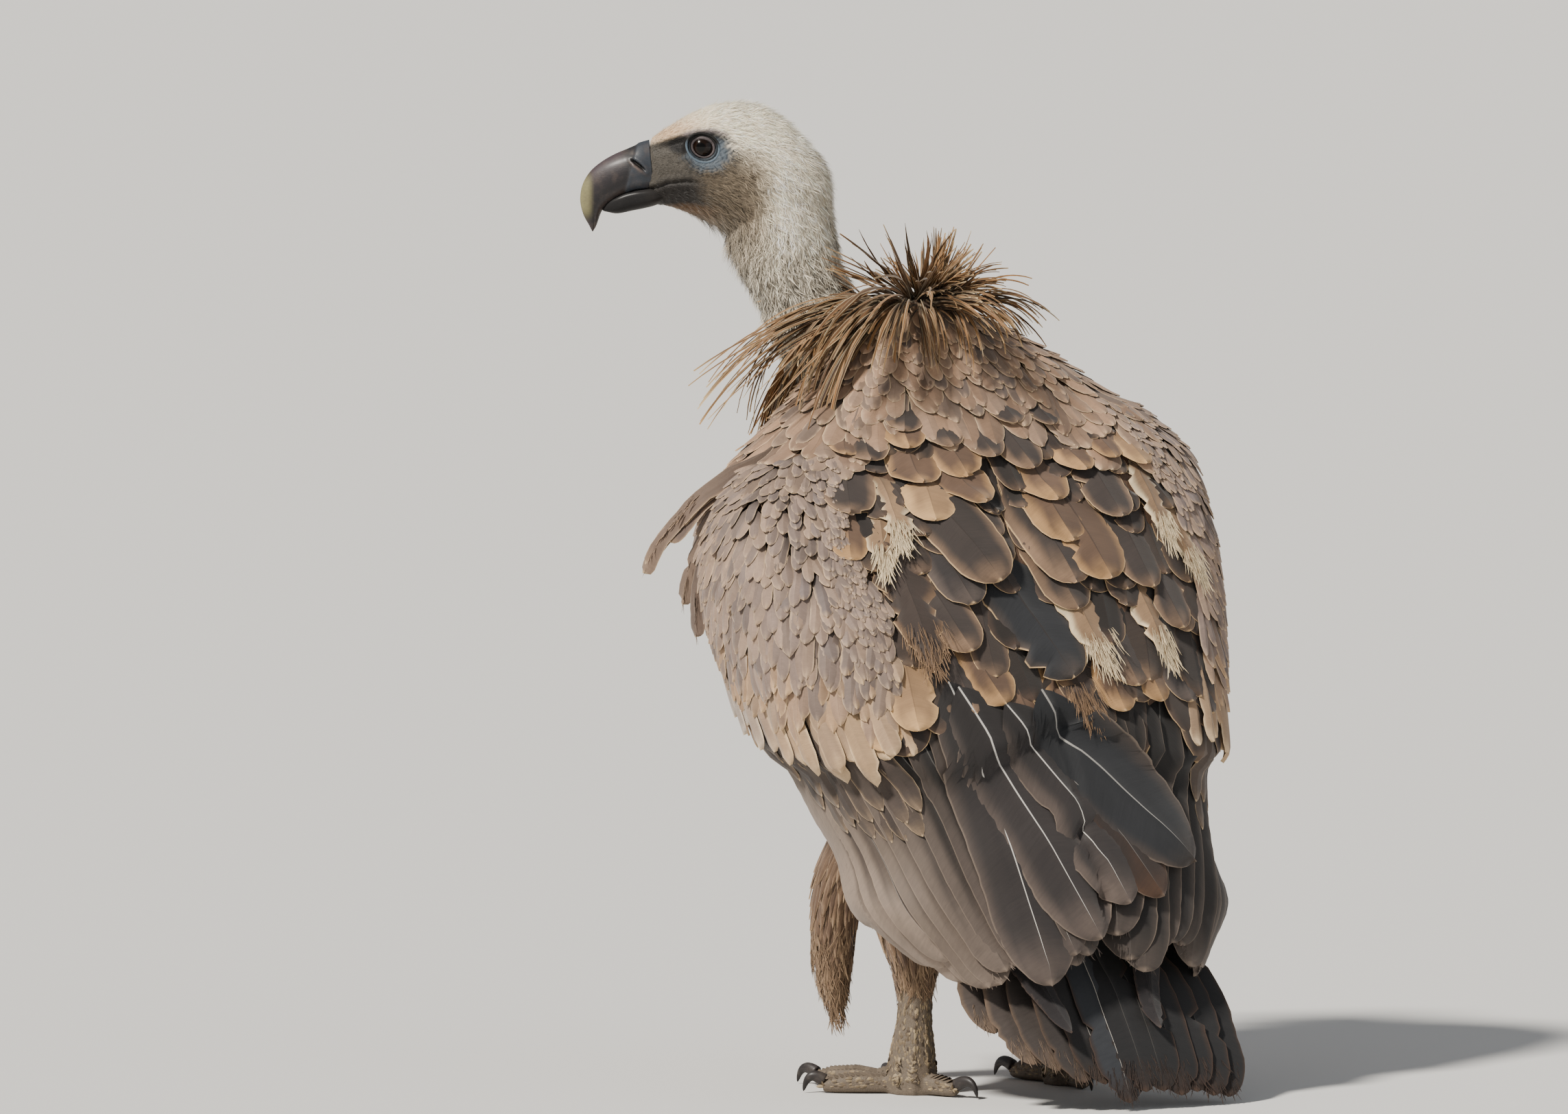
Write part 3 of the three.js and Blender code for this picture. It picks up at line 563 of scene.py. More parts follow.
@dataclass(frozen=True)
class Cut:
    """How one kind of feather is cut: its outline, its cup and how finely it is meshed."""

    rows: int = 10
    halves: tuple[float, ...] = (0.12, 0.55, 1.0)
    stem: float = 0.35  # width at the root, as a share of the full width
    swell: float = 0.3  # share of the length over which it widens
    tip: float = 1.1  # length of the rounded tip, in half widths
    point: float = 2.0  # 2 is round, near 1 is pointed
    sweep: float = 0.7  # how far tipward the barbs reach, in half widths
    cup: float = 0.14  # how far the edges fall, in half widths
    ridge: float = 0.35  # the raised shaft, in mm
    ripple: float = 0.1  # unevenness of the barbs, in mm
    ragged: float = 0.03  # unevenness of the outline, as a share of the width
    splits: float = 0.06  # share of the barbs that part from the next
    skew: float = 0.0  # above 0 the vane to the left of the shaft is narrower
    gather: float = 1.35  # above 1 crowds the rows towards the tip
    hug: float = 1.0  # above 1 keeps the feather low until near its tip


@dataclass
class Coat:
    """What colours and raises each feather of a batch."""

    mid: Array
    rim: Array
    root_lift: Array | float
    tip_lift: Array | float
    twist: Array | float
    place: Array  # each root on the unwrap of the skin, from 0 to 1
    quill: Array | float = 1.0  # how far its shaft shows
    lop: Array | float = 0.0  # above 0 the rim's colour takes more of the right vane


def outline(share: Array, cut: Cut, tip: Array) -> Array:
    """Half the width of a feather at a share of its length, as a share of its full half width."""
    grown = mix(cut.stem, 1.0, smooth(0, cut.swell, share))
    into = np.clip((share - (1 - tip)) / tip, 0, 1)
    return grown * np.maximum(1 - into**cut.point, 0) ** (1 / max(cut.point, 1.2))


class Plumage(Surface):
    """Feathers laid one batch at a time and joined into one piece."""

    def lay(
        self, shafts: Shafts, length: Array, half: Array, cut: Cut, coat: Coat, rng: Random,
        form: Contour | None = None,
    ) -> None:
        """Adds a batch of feathers.

        Args:
            shafts: Their lines.
            length: Each one's length.
            half: Each one's half width.
            cut: Their shape.
            coat: Their colours, lifts and places.
            rng: The source of their unevenness.
            form: The body that they bend to across their width, if any.
        """
        n = len(length)
        r = np.array([-h for h in reversed(cut.halves)] + [0.0] + list(cut.halves))
        a = 1 - (1 - np.linspace(0, 1, cut.rows + 1)) ** cut.gather
        tip = np.clip(cut.tip * half / length, 0.04, 0.95)[:, None]
        reach = (cut.sweep * half / length)[:, None] * (1 - a[None]) ** 0.55
        edge = np.minimum(a[None] + reach, 1.0)
        width = half[:, None] * outline(edge, cut, tip)
        width = np.repeat(width[:, :, None], 2, 2)
        width *= 1 - cut.ragged * rng.random(width.shape) * 2
        width *= np.where(rng.random(width.shape) < cut.splits, rng.uniform(0.5, 0.85, width.shape), 1.0)
        width[:, -1] = 0.02 * half[:, None]
        width[..., 0] *= 1 - cut.skew
        sided = np.where(r[None, None] < 0, width[..., :1], width[..., 1:])
        x = (r * sided).reshape(n, -1)
        along = (a[None, :, None] + (edge - a[None])[..., None] * np.abs(r) ** 1.3).reshape(n, -1)
        ripple = cut.ripple * (np.arange(len(a)) % 2 * 2 - 1)[None, :, None] * (np.abs(r) > 0.3)
        raised = cut.ridge * (r == 0) * np.ones(len(a))[:, None] * (1 - a[:, None] ** 3)
        height = -cut.cup * half[:, None, None] * r**2 + raised[None] + ripple
        height = np.broadcast_to(height, (n, len(a), len(r))).reshape(n, -1)
        root_lift, tip_lift, twist = (
            np.broadcast_to(v, n)[:, None] for v in (coat.root_lift, coat.tip_lift, coat.twist)
        )
        height = height + mix(root_lift, tip_lift, along**cut.hug) + x * twist
        at, across, out = shafts.at(along)
        points = at + across * x[..., None]
        if form is not None:
            points = mix(points, form.settle(points), 0.9)
        points = points + out * height[..., None]
        m = points.shape[1]
        faces = (grid_faces(len(a), len(r))[None] + np.arange(n)[:, None, None] * m).reshape(-1, 4)
        vane = np.broadcast_to(stack(r * 0.5 + 0.5, a[:, None]).reshape(-1, 2), (n, m, 2))
        bake = coat.place[:, None] + BAKE_PATCH * (vane - 0.5)
        single = {"tone": rng.random(n), "quill": coat.quill, "lop": coat.lop}
        self.add(
            points.reshape(-1, 3), [faces],
            vane=vane.reshape(-1, 2), OFBake=np.clip(bake, 0, 1).reshape(-1, 2),
            mid=np.repeat(coat.mid, m, axis=0), rim=np.repeat(coat.rim, m, axis=0),
            **{name: np.repeat(np.broadcast_to(value, n), m) for name, value in single.items()},
        )

    def fray(
        self, shafts: Shafts, half: Array, coat: Coat, rng: Random, count: int, start: float,
        reach: tuple[float, float], wide: float = 0.3,
    ) -> None:
        """Adds loose barbs round the tips of a batch of feathers.

        Args:
            shafts: The feathers' lines.
            half: Each one's half width.
            coat: Their colours, lifts and places.
            rng: The source of the unevenness.
            count: Barbs to a feather.
            start: The share of the length past which they stand.
            reach: Their shortest and longest length.
            wide: Their half width.
        """
        n = len(half)
        share = rng.uniform(start, 0.98, (n, count))
        side = rng.uniform(-1, 1, (n, count))
        at, across, out = shafts.at(share)
        breadth = half[:, None] * np.sqrt(np.clip((1 - share) / (1 - start), 0.05, 1))
        lift = np.broadcast_to(coat.tip_lift, n)[:, None] * share
        base = at + across * (side * breadth * 0.75)[..., None] + out * lift[..., None]
        turn = side * 0.26 + rng.normal(0, 0.09, side.shape)
        way = np.cross(out, across) * np.cos(turn)[..., None] + across * np.sin(turn)[..., None]
        sag = across * rng.normal(0, 0.12, (n, count, 1))
        sag = sag + out * rng.normal(0.0, 0.05, (n, count, 1))
        run = rng.uniform(*reach, side.shape)
        steps = np.linspace(0, 1, 4)
        lines = [(base + (way * t + sag * t * t) * run[..., None]).reshape(-1, 3) for t in steps]
        barbs = Shafts.along(np.stack(lines, 1), out.reshape(-1, 1, 3))
        hue = np.repeat(coat.rim, count, 0)
        coats = Coat(hue, hue, 0.0, 0.0, rng.normal(0, 0.3, n * count), np.repeat(coat.place, count, 0), 0.0)
        cut = Cut(rows=4, halves=(1.0,), stem=0.9, tip=9.0, point=1.3, sweep=0, ragged=0, splits=0, ridge=0.2)
        self.lay(barbs, run.ravel(), np.full(n * count, wide), cut, coats, rng)


def body_place(turn: Array, height: Array) -> Array:
    """Where a root lies on the unwrap of the body's form, from 0 to 1 each way."""
    up = (height - Contour.LOW) / (Contour.HIGH - Contour.LOW)
    return np.clip(stack(np.mod(turn + 180.0, 360.0) / 360.0, up), 0.004, 0.996)


@dataclass(frozen=True)
class Tract:
    """A field of feathers laid in staggered rows between two edges of the body.

    Each pair is the value at the top row and at the bottom row. Sizes are in mm and angles in degrees.
    """

    turns: tuple[float, float]
    top: Callable[[Array], Array]
    bottom: Callable[[Array], Array]
    pitch: tuple[float, float]  # between rows
    gap: tuple[float, float]  # between feathers of a row
    length: tuple[float, float]
    half: tuple[float, float]
    lean: Callable[[Array, Array], Array | float] = lambda turn, share: 0.0
    growth: float = 1.0  # above 1 keeps the upper rows small for longer
    jitter: float = 0.12

    def roots(self, contour: Contour, rng: Random) -> tuple[Array, Array, Array]:
        """Where the feathers start.

        Args:
            contour: The body's form.
            rng: The source of the jitter.

        Returns:
            Turn, height and share of the way from the top row to the bottom row.
        """
        fine = np.linspace(*self.turns, 240)
        middle = fine[len(fine) // 2]
        drop = float(self.top(middle) - self.bottom(middle))
        shares, at = [], 0.0
        while at < drop:
            shares.append(at / drop)
            at += mix(*self.pitch, (at / drop) ** self.growth)
        rows = []
        for k, share in enumerate(shares):
            line = mix(self.top(fine), self.bottom(fine), share)
            points = contour.point(fine, line)
            run = np.concatenate([[0], np.cumsum(np.linalg.norm(np.diff(points, axis=0), axis=1))])
            gap = mix(*self.gap, share**self.growth)
            stops = np.arange(gap * (0.25 + 0.5 * (k % 2)), run[-1], gap)
            stops = stops + rng.normal(0, self.jitter * gap, len(stops))
            turn, rising = np.interp(stops, run, fine), np.argsort(fine)
            height = np.interp(turn, fine[rising], line[rising])
            height = height + rng.normal(0, self.jitter * gap, len(stops))
            rows.append(stack(turn, height, share))
        return tuple(np.concatenate(rows).T)


# ---- shader nodes
class Graph:
    """A node tree being wired, with short ways to place the nodes that the finishes use."""

    def __init__(self, tree: NodeTree) -> None:
        """Starts on an empty tree."""
        self.tree = tree
        self.count = 0

    def node(self, kind: str, fed: dict[str | int, object] | None = None, **settings: object) -> Node:
        """Places a node.

        Args:
            kind: Its kind.
            fed: What its inputs take, by name or number.
            settings: Its properties.

        Returns:
            The node.
        """
        made = self.tree.nodes.new(kind)
        made.location = (180 * (self.count % 8), -220 * (self.count // 8))
        self.count += 1
        for name, value in settings.items():
            setattr(made, name, value)
        self.fill(made, fed or {})
        return made

    def fill(self, node: Node, fed: dict[str | int, object]) -> None:
        """Feeds a node's inputs by name or number, and leaves those given as None."""
        for key, value in fed.items():
            if value is not None:
                self.feed(node.inputs[key], value)

    def feed(self, socket: Socket, value: object) -> None:
        """Links a socket or sets a plain value on an input.

        Args:
            socket: The input.
            value: Another node's output, or a plain value.
        """
        if isinstance(value, Socket):
            self.tree.links.new(value, socket)
        elif isinstance(value, np.ndarray):
            socket.default_value = (*value, 1.0) if len(socket.default_value) == 4 else tuple(value)
        else:
            socket.default_value = value

    def math(self, operation: str, a: object, b: object = None, clamp: bool = False) -> Socket:
        """One arithmetic step."""
        return self.node("ShaderNodeMath", {0: a, 1: b}, operation=operation, use_clamp=clamp).outputs[0]

    def times(self, a: object, b: object) -> Socket:
        """The product."""
        return self.math("MULTIPLY", a, b)

    def plus(self, a: object, b: object) -> Socket:
        """The sum."""
        return self.math("ADD", a, b)

    def minus(self, a: object, b: object) -> Socket:
        """The difference."""
        return self.math("SUBTRACT", a, b)

    def scale_add(self, a: object, b: object, c: object) -> Socket:
        """a times b, plus c."""
        return self.node("ShaderNodeMath", {0: a, 1: b, 2: c}, operation="MULTIPLY_ADD").outputs[0]

    def join(self, x: object, y: object, z: object) -> Socket:
        """A vector of three values."""
        return self.node("ShaderNodeCombineXYZ", {0: x, 1: y, 2: z}).outputs[0]

    def ease(self, value: Socket, low: float | Socket, high: float | Socket) -> Socket:
        """An eased step of a value from 0 at low to 1 at high."""
        fed = {"Value": value, "From Min": low, "From Max": high}
        return self.node("ShaderNodeMapRange", fed, interpolation_type="SMOOTHSTEP").outputs[0]

    def blend(self, share: object, a: object, b: object, how: str = "MIX") -> Socket:
        """Two colours blended."""
        return self.node("ShaderNodeMix", {0: share, 6: a, 7: b}, data_type="RGBA", blend_type=how).outputs[2]

    def shaded(self, colour: Socket, shade: Socket) -> Socket:
        """A colour made lighter or darker."""
        return self.blend(1.0, colour, self.join(shade, shade, shade), "MULTIPLY")

    def noise(self, vector: Socket, scale: float, detail: float = 2.0, rough: float = 0.5) -> Socket:
        """Noise from 0 to 1 over a vector."""
        fed = {"Vector": vector, "Scale": scale, "Detail": detail, "Roughness": rough}
        return self.node("ShaderNodeTexNoise", fed).outputs[0]

    def stretch(self, vector: Socket, scale: tuple[float, float, float]) -> Socket:
        """A vector scaled differently along its three axes."""
        return self.node("ShaderNodeMapping", {"Vector": vector, "Scale": scale}).outputs[0]

    def attribute(self, name: str, output: str = "Color") -> Socket:
        """An attribute that the mesh carries."""
        return self.node("ShaderNodeAttribute", attribute_name=name).outputs[output]

    def where(self) -> Socket:
        """The place in the object's own coordinates."""
        return self.node("ShaderNodeTexCoord").outputs["Object"]


def new_group(
    name: str, inputs: dict[str, object], outputs: Sequence[str]
) -> tuple[Graph, Callable[[str], Socket], Node]:
    """Starts a shader group.

    Args:
        name: The group's name.
        inputs: Default values by input name: a number, or an array for a colour.
        outputs: Output names, of which "Colour" is a colour and the others are numbers.

    Returns:
        The graph, a function from an input's name to its socket, and the output node.
    """
    tree = bpy.data.node_groups.new(name, "ShaderNodeTree")
    for key, value in inputs.items():
        kind = "NodeSocketColor" if isinstance(value, np.ndarray) else "NodeSocketFloat"
        made = tree.interface.new_socket(name=key, in_out="INPUT", socket_type=kind)
        made.default_value = (*value, 1.0) if isinstance(value, np.ndarray) else value
    for key in outputs:
        kind = "NodeSocketColor" if key == "Colour" else "NodeSocketFloat"
        tree.interface.new_socket(name=key, in_out="OUTPUT", socket_type=kind)
    graph = Graph(tree)
    entry = graph.node("NodeGroupInput")
    return graph, lambda key: entry.outputs[key], graph.node("NodeGroupOutput")


def new_material(name: str) -> tuple[Material, Graph, Node]:
    """A material with an empty graph and its Principled shader.

    Args:
        name: Its name.

    Returns:
        The material, its graph and its shader.
    """
    made = bpy.data.materials.new(name)
    made.use_nodes = True
    made.node_tree.nodes.clear()
    graph = Graph(made.node_tree)
    shader = graph.node("ShaderNodeBsdfPrincipled")
    graph.node("ShaderNodeOutputMaterial", {0: shader.outputs[0]})
    return made, graph, shader


def add_bump(graph: Graph, shader: Node, height: Socket, strength: float, distance: float) -> None:
    """Feeds a height to the shader's normal, with the relief's depth in metres."""
    relief = graph.node("ShaderNodeBump", {"Strength": strength, "Distance": distance, "Height": height})
    graph.feed(shader.inputs["Normal"], relief.outputs[0])


@dataclass(frozen=True)
class VaneFinish:
    """The finish of a kind of feather."""

    name: str
    streak: float = 0.35
    blotch: float = 0.35
    rim_width: float = 0.45
    rim_strength: float = 0.9
    shaft_width: float = 0.05
    shaft_strength: float = 0.6
    shaft: str = "4a3d33"
    margin: float = 0.5
    margin_tint: str = "d9bf98"
    root_shade: float = 0.45
    relief: float = 0.35
    sheen: float = 0.15

    @staticmethod
    def pattern(values: dict[str, object]) -> dict[str, object]:
        """The values that the vane group takes, by the names of its inputs."""
        own = ("name", "relief", "sheen")
        taken = {name.replace("_", " ").title(): value for name, value in values.items() if name not in own}
        return {name: tint(value) if isinstance(value, str) else value for name, value in taken.items()}

    def make(self) -> Material:
        """The material."""
        made, g, shader = new_material(self.name)
        pattern = g.node("ShaderNodeGroup", node_tree=VANE)
        g.fill(pattern, self.pattern(vars(self)))
        g.fill(shader, {
            "Base Color": pattern.outputs["Colour"], "Roughness": pattern.outputs["Roughness"],
            "Specular IOR Level": 0.3, "Sheen Weight": self.sheen,
        })
        add_bump(g, shader, pattern.outputs["Height"], self.relief, 0.0006)
        return made


def vane_group() -> NodeTree:
    """The pattern of a feather: barbs, shaft, rim, pale margin and wear, in the feather's own map."""
    defaults = VaneFinish.pattern(vars(VaneFinish("")))
    g, given, out = new_group("Vane pattern", defaults, ("Colour", "Height", "Roughness"))
    vane = g.node("ShaderNodeUVMap", uv_map="vane").outputs[0]
    left_right, along, _ = g.node("ShaderNodeSeparateXYZ", {0: vane}).outputs
    across = g.times(g.minus(left_right, 0.5), 2.0)
    side = g.math("ABSOLUTE", across)
    own = g.join(left_right, along, g.times(g.attribute("tone", "Fac"), 37.0))
    barbs = g.noise(g.stretch(own, (3.0, 95.0, 1.0)), 1.0, 3.0, 0.65)
    bands = g.noise(g.stretch(own, (1.6, 16.0, 1.0)), 1.0, 2.0)
    clouds = g.noise(g.stretch(own, (1.7, 2.6, 1.0)), 1.0, 3.0)
    edge = g.math("MAXIMUM", g.math("POWER", side, 1.4), g.math("POWER", along, 3.0))
    edge = g.scale_add(g.ease(across, -0.04, 0.04), g.attribute("lop", "Fac"), edge)
    uneven = g.times(g.minus(clouds, 0.5), 0.5)
    rim = g.ease(g.plus(edge, uneven), g.minus(1.0, given("Rim Width")), 1.05)
    colour = g.blend(g.times(rim, given("Rim Strength")), g.attribute("mid"), g.attribute("rim"))
    cloud_shade = g.scale_add(g.minus(clouds, 0.5), given("Blotch"), 1.0)
    lines = g.minus(g.plus(barbs, g.times(bands, 0.5)), 0.75)
    streak = g.scale_add(lines, given("Streak"), 1.0)
    root = g.minus(1.0, g.times(given("Root Shade"), g.minus(1.0, g.ease(along, 0.05, 0.6))))
    colour = g.shaded(colour, g.times(g.times(cloud_shade, streak), root))
    margin = g.math("MAXIMUM", g.ease(side, 0.94, 0.99), g.ease(along, 0.975, 0.995))
    colour = g.blend(g.times(margin, given("Margin")), colour, given("Margin Tint"))
    wide = g.times(given("Shaft Width"), g.minus(1.25, along))
    shaft = g.minus(1.0, g.ease(side, g.times(wide, 0.5), wide))
    fading = g.minus(1.0, g.ease(along, 0.86, 0.99))
    shaft = g.times(shaft, g.times(g.attribute("quill", "Fac"), fading))
    g.fill(out, {
        "Colour": g.blend(g.times(shaft, given("Shaft Strength")), colour, given("Shaft")),
        "Height": g.plus(g.times(barbs, 0.6), shaft),
        "Roughness": g.plus(0.5, g.times(barbs, 0.35)),
    })
    return g.tree


def wrinkle_group() -> NodeTree:
    """Fine creases and pores of bare skin, and scales' edges, over object coordinates."""
    g, given, out = new_group("Wrinkles", {"Amount": 0.3, "Cells": 0.0}, ("Colour", "Height"))
    creases = g.noise(g.where(), 420.0, 4.0, 0.6)
    pores = g.noise(g.where(), 1500.0, 2.0)
    cells = g.node("ShaderNodeTexVoronoi", {"Vector": g.where(), "Scale": 430.0}, feature="DISTANCE_TO_EDGE")
    plates = g.ease(cells.outputs["Distance"], 0.0, 0.12)
    height = g.plus(g.times(creases, 0.7), g.times(pores, 0.3))
    dark = g.times(g.minus(creases, 0.5), given("Amount"))
    joint = g.times(g.minus(plates, 1.0), g.times(given("Cells"), 0.5))
    g.fill(out, {
        "Colour": g.shaded(g.attribute("mid"), g.plus(g.plus(dark, joint), 1.0)),
        "Height": g.plus(height, g.times(plates, given("Cells"))),
    })
    return g.tree


VANE = vane_group()
WRINKLES = wrinkle_group()


@dataclass(frozen=True)
class SkinFinish:
    """The finish of bare or scaly skin, whose colour the mesh carries."""

    name: str
    roughness: float
    amount: float
    cells: float
    relief: float

    def make(self) -> Material:
        """The material."""
        made, g, shader = new_material(self.name)
        fed = {"Amount": self.amount, "Cells": self.cells}
        pattern = g.node("ShaderNodeGroup", node_tree=WRINKLES)
        g.fill(pattern, fed)
        g.fill(shader, {
            "Base Color": pattern.outputs["Colour"], "Roughness": self.roughness, "Specular IOR Level": 0.35,
        })
        add_bump(g, shader, pattern.outputs["Height"], self.relief, 0.0008)
        return made


def add_piece(made: Object, finish: Material | None, nodes: Sequence[str] = ()) -> None:
    """Gives a piece its finish and its place in the frame, and logs it.

    Args:
        made: The finished object.
        finish: Its material, or None where it has one.
        nodes: The packed nodes that it stands for.
    """
    if finish is not None:
        made.data.materials.clear()
        made.data.materials.append(finish)
    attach(made, "root")
    if nodes:
        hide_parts(*nodes)
    made.data.calc_loop_triangles()
    log.info("%s: %d triangles", made.name, len(made.data.loop_triangles))


# ---- small tufts and plates by Geometry Nodes
@dataclass
class Sown:
    """Places where small pieces grow, with how each one lies."""

    batches: list[tuple[Array, ...]] = field(default_factory=list)

    def add(self, points: Array, lie: Array, up: Array, size: Array, place: Array, mid: Array) -> None:
        """Adds places.

        Args:
            points: Where each piece's root is.
            lie: The way that it points.
            up: The way out of the skin.
            size: Its width, length and height, in mm.
            place: The root on the unwrap of the skin, two numbers from 0 to 1.
            mid: Its colour.
        """
        lie, up = (np.broadcast_to(way, points.shape) for way in (lie, up))
        self.batches.append((points, lie, up, size * MM, place, mid))

    def seedbed(self, name: str, rng: Random) -> Object:
        """The places as an object of loose points."""
        points, lie, up, size, place, mid = (np.concatenate(rows) for rows in zip(*self.batches))
        bed = Surface()
        flat = stack(*place.T, 0.0)
        bed.add(points, [], mid=mid, lie=lie, up=up, size=size, place=flat, tone=rng.random(len(lie)))
        return bed.build(name)


@dataclass(frozen=True)
class Sprig:
    """The shape of the small piece that is set on every sown place."""

    columns: int = 2
    rows: int = 4
    taper: float = 1.5  # how late the sides draw in to the tip
    foot: float = 0.5  # width at the root, as a share of the full width
    curl: float = 0.3  # how far the tip bends back to the skin
    cup: float = 0.0  # how far the sides fall
    start: float = 0.0  # height of the root


class SprigTree:
    """The Geometry Nodes tree that sets a small tapered piece on each sown place, as one mesh."""

    INPUTS = {
        "Geometry": "Geometry", "Taper": "Float", "Foot": "Float", "Curl": "Float", "Cup": "Float",
        "Start": "Float", "Columns": "Int", "Rows": "Int", "Material": "Material",
    }

    def __init__(self) -> None:
        """Makes the tree's sockets and wires it."""
        self.tree = bpy.data.node_groups.new("Sprigs", "GeometryNodeTree")
        face = self.tree.interface
        for name, kind in self.INPUTS.items():
            face.new_socket(name=name, in_out="INPUT", socket_type=f"NodeSocket{kind}")
        face.new_socket(name="Geometry", in_out="OUTPUT", socket_type="NodeSocketGeometry")
        self.graph = Graph(self.tree)
        self.given = self.graph.node("NodeGroupInput").outputs
        self._wire()

    def _named(self, name: str) -> Socket:
        """A vector that each sown place carries."""
        made = self.graph.node("GeometryNodeInputNamedAttribute", {"Name": name}, data_type="FLOAT_VECTOR")
        return made.outputs["Attribute"]

    def _store(self, geometry: Socket, name: str, value: Socket) -> Socket:
        """Stores a map on the corners."""
        made = self.graph.node("GeometryNodeStoreNamedAttribute", data_type="FLOAT2", domain="CORNER")
        self.graph.fill(made, {"Name": name, "Geometry": geometry, "Value": value})
        return made.outputs[0]

    def _vector(self, operation: str, a: object, b: object = None, scale: float | None = None) -> Socket:
        """One step of vector arithmetic."""
        made = self.graph.node("ShaderNodeVectorMath", operation=operation)
        self.graph.fill(made, {0: a, 1: b, "Scale": scale})
        return made.outputs[0]

    def _shape(self, geometry: Socket) -> Socket:
        """Bends and tapers the flat grid, whose root is at y = 0 and tip at y = 1.

        Args:
            geometry: The grid.

        Returns:
            The shaped grid.
        """
        g, given = self.graph, self.given
        flat = g.node("GeometryNodeInputPosition").outputs[0]
        side, height, _ = g.node("ShaderNodeSeparateXYZ", {0: flat}).outputs
        along = g.math("ADD", height, 0.5, clamp=True)
        narrow = g.math("MAXIMUM", g.minus(1.0, g.math("POWER", along, given["Taper"])), 0.04)
        widening = g.math("MULTIPLY", along, 3.0, clamp=True)
        grown = g.scale_add(g.minus(1.0, given["Foot"]), widening, given["Foot"])
        x = g.times(side, g.times(narrow, grown))
        rise = g.times(along, g.minus(1.0, g.times(along, given["Curl"])))
        fall = g.times(g.times(g.times(x, x), 4.0), given["Cup"])
        z = g.plus(given["Start"], g.minus(rise, fall))
        fed = {"Geometry": geometry, "Position": g.join(x, along, z)}
        return g.node("GeometryNodeSetPosition", fed).outputs[0]

    def _wire(self) -> None:
        """Places and links every node."""
        g, given = self.graph, self.given
        flat = g.node("GeometryNodeMeshGrid", {
            "Size X": 1.0, "Size Y": 1.0, "Vertices X": given["Columns"], "Vertices Y": given["Rows"],
        })
        piece = self._shape(self._store(flat.outputs["Mesh"], "vane", flat.outputs["UV Map"]))
        turn = g.node("FunctionNodeAxesToRotation", primary_axis="Z", secondary_axis="Y")
        g.fill(turn, {"Primary Axis": self._named("up"), "Secondary Axis": self._named("lie")})
        sown = g.node("GeometryNodeInstanceOnPoints", {
            "Points": given["Geometry"], "Instance": piece,
            "Rotation": turn.outputs[0], "Scale": self._named("size"),
        })
        real = g.node("GeometryNodeRealizeInstances", {0: sown.outputs[0]})
        own = self._vector("SUBTRACT", self._named("vane"), (0.5, 0.5, 0.0))
        patch = self._vector("SCALE", own, None, BAKE_PATCH)
        mapped = self._store(real.outputs[0], "OFBake", self._vector("ADD", patch, self._named("place")))
        even = g.node("GeometryNodeSetShadeSmooth", {0: mapped}).outputs[0]
        dressed = g.node("GeometryNodeSetMaterial", {"Geometry": even, "Material": given["Material"]})
        g.node("NodeGroupOutput", {0: dressed.outputs[0]})

    def grow(self, name: str, sown: Sown, sprig: Sprig, finish: Material, rng: Random) -> Object:
        """Sets the sprig on every sown place.

        Args:
            name: The new piece's name.
            sown: The places.
            sprig: The small piece's shape.
            finish: Its material.
            rng: The source of each piece's tone.

        Returns:
            One plain mesh object with the finish set.
        """
        bed = sown.seedbed(f"{name}.bed", rng)
        modifier = bed.modifiers.new("Sprigs", "NODES")
        modifier.node_group = self.tree
        values = {key.title(): value for key, value in vars(sprig).items()} | {"Material": finish}
        for item in self.tree.interface.items_tree:
            if item.in_out == "INPUT" and item.name in values:
                modifier[item.identifier] = values[item.name]
        bed.update_tag()
        mesh = as_shown(bed)
        mesh.name = name
        for key in ("lie", "up", "size", "place"):
            if key in mesh.attributes:
                mesh.attributes.remove(mesh.attributes[key])
        bpy.data.objects.remove(bed)
        return in_scene(name, mesh)


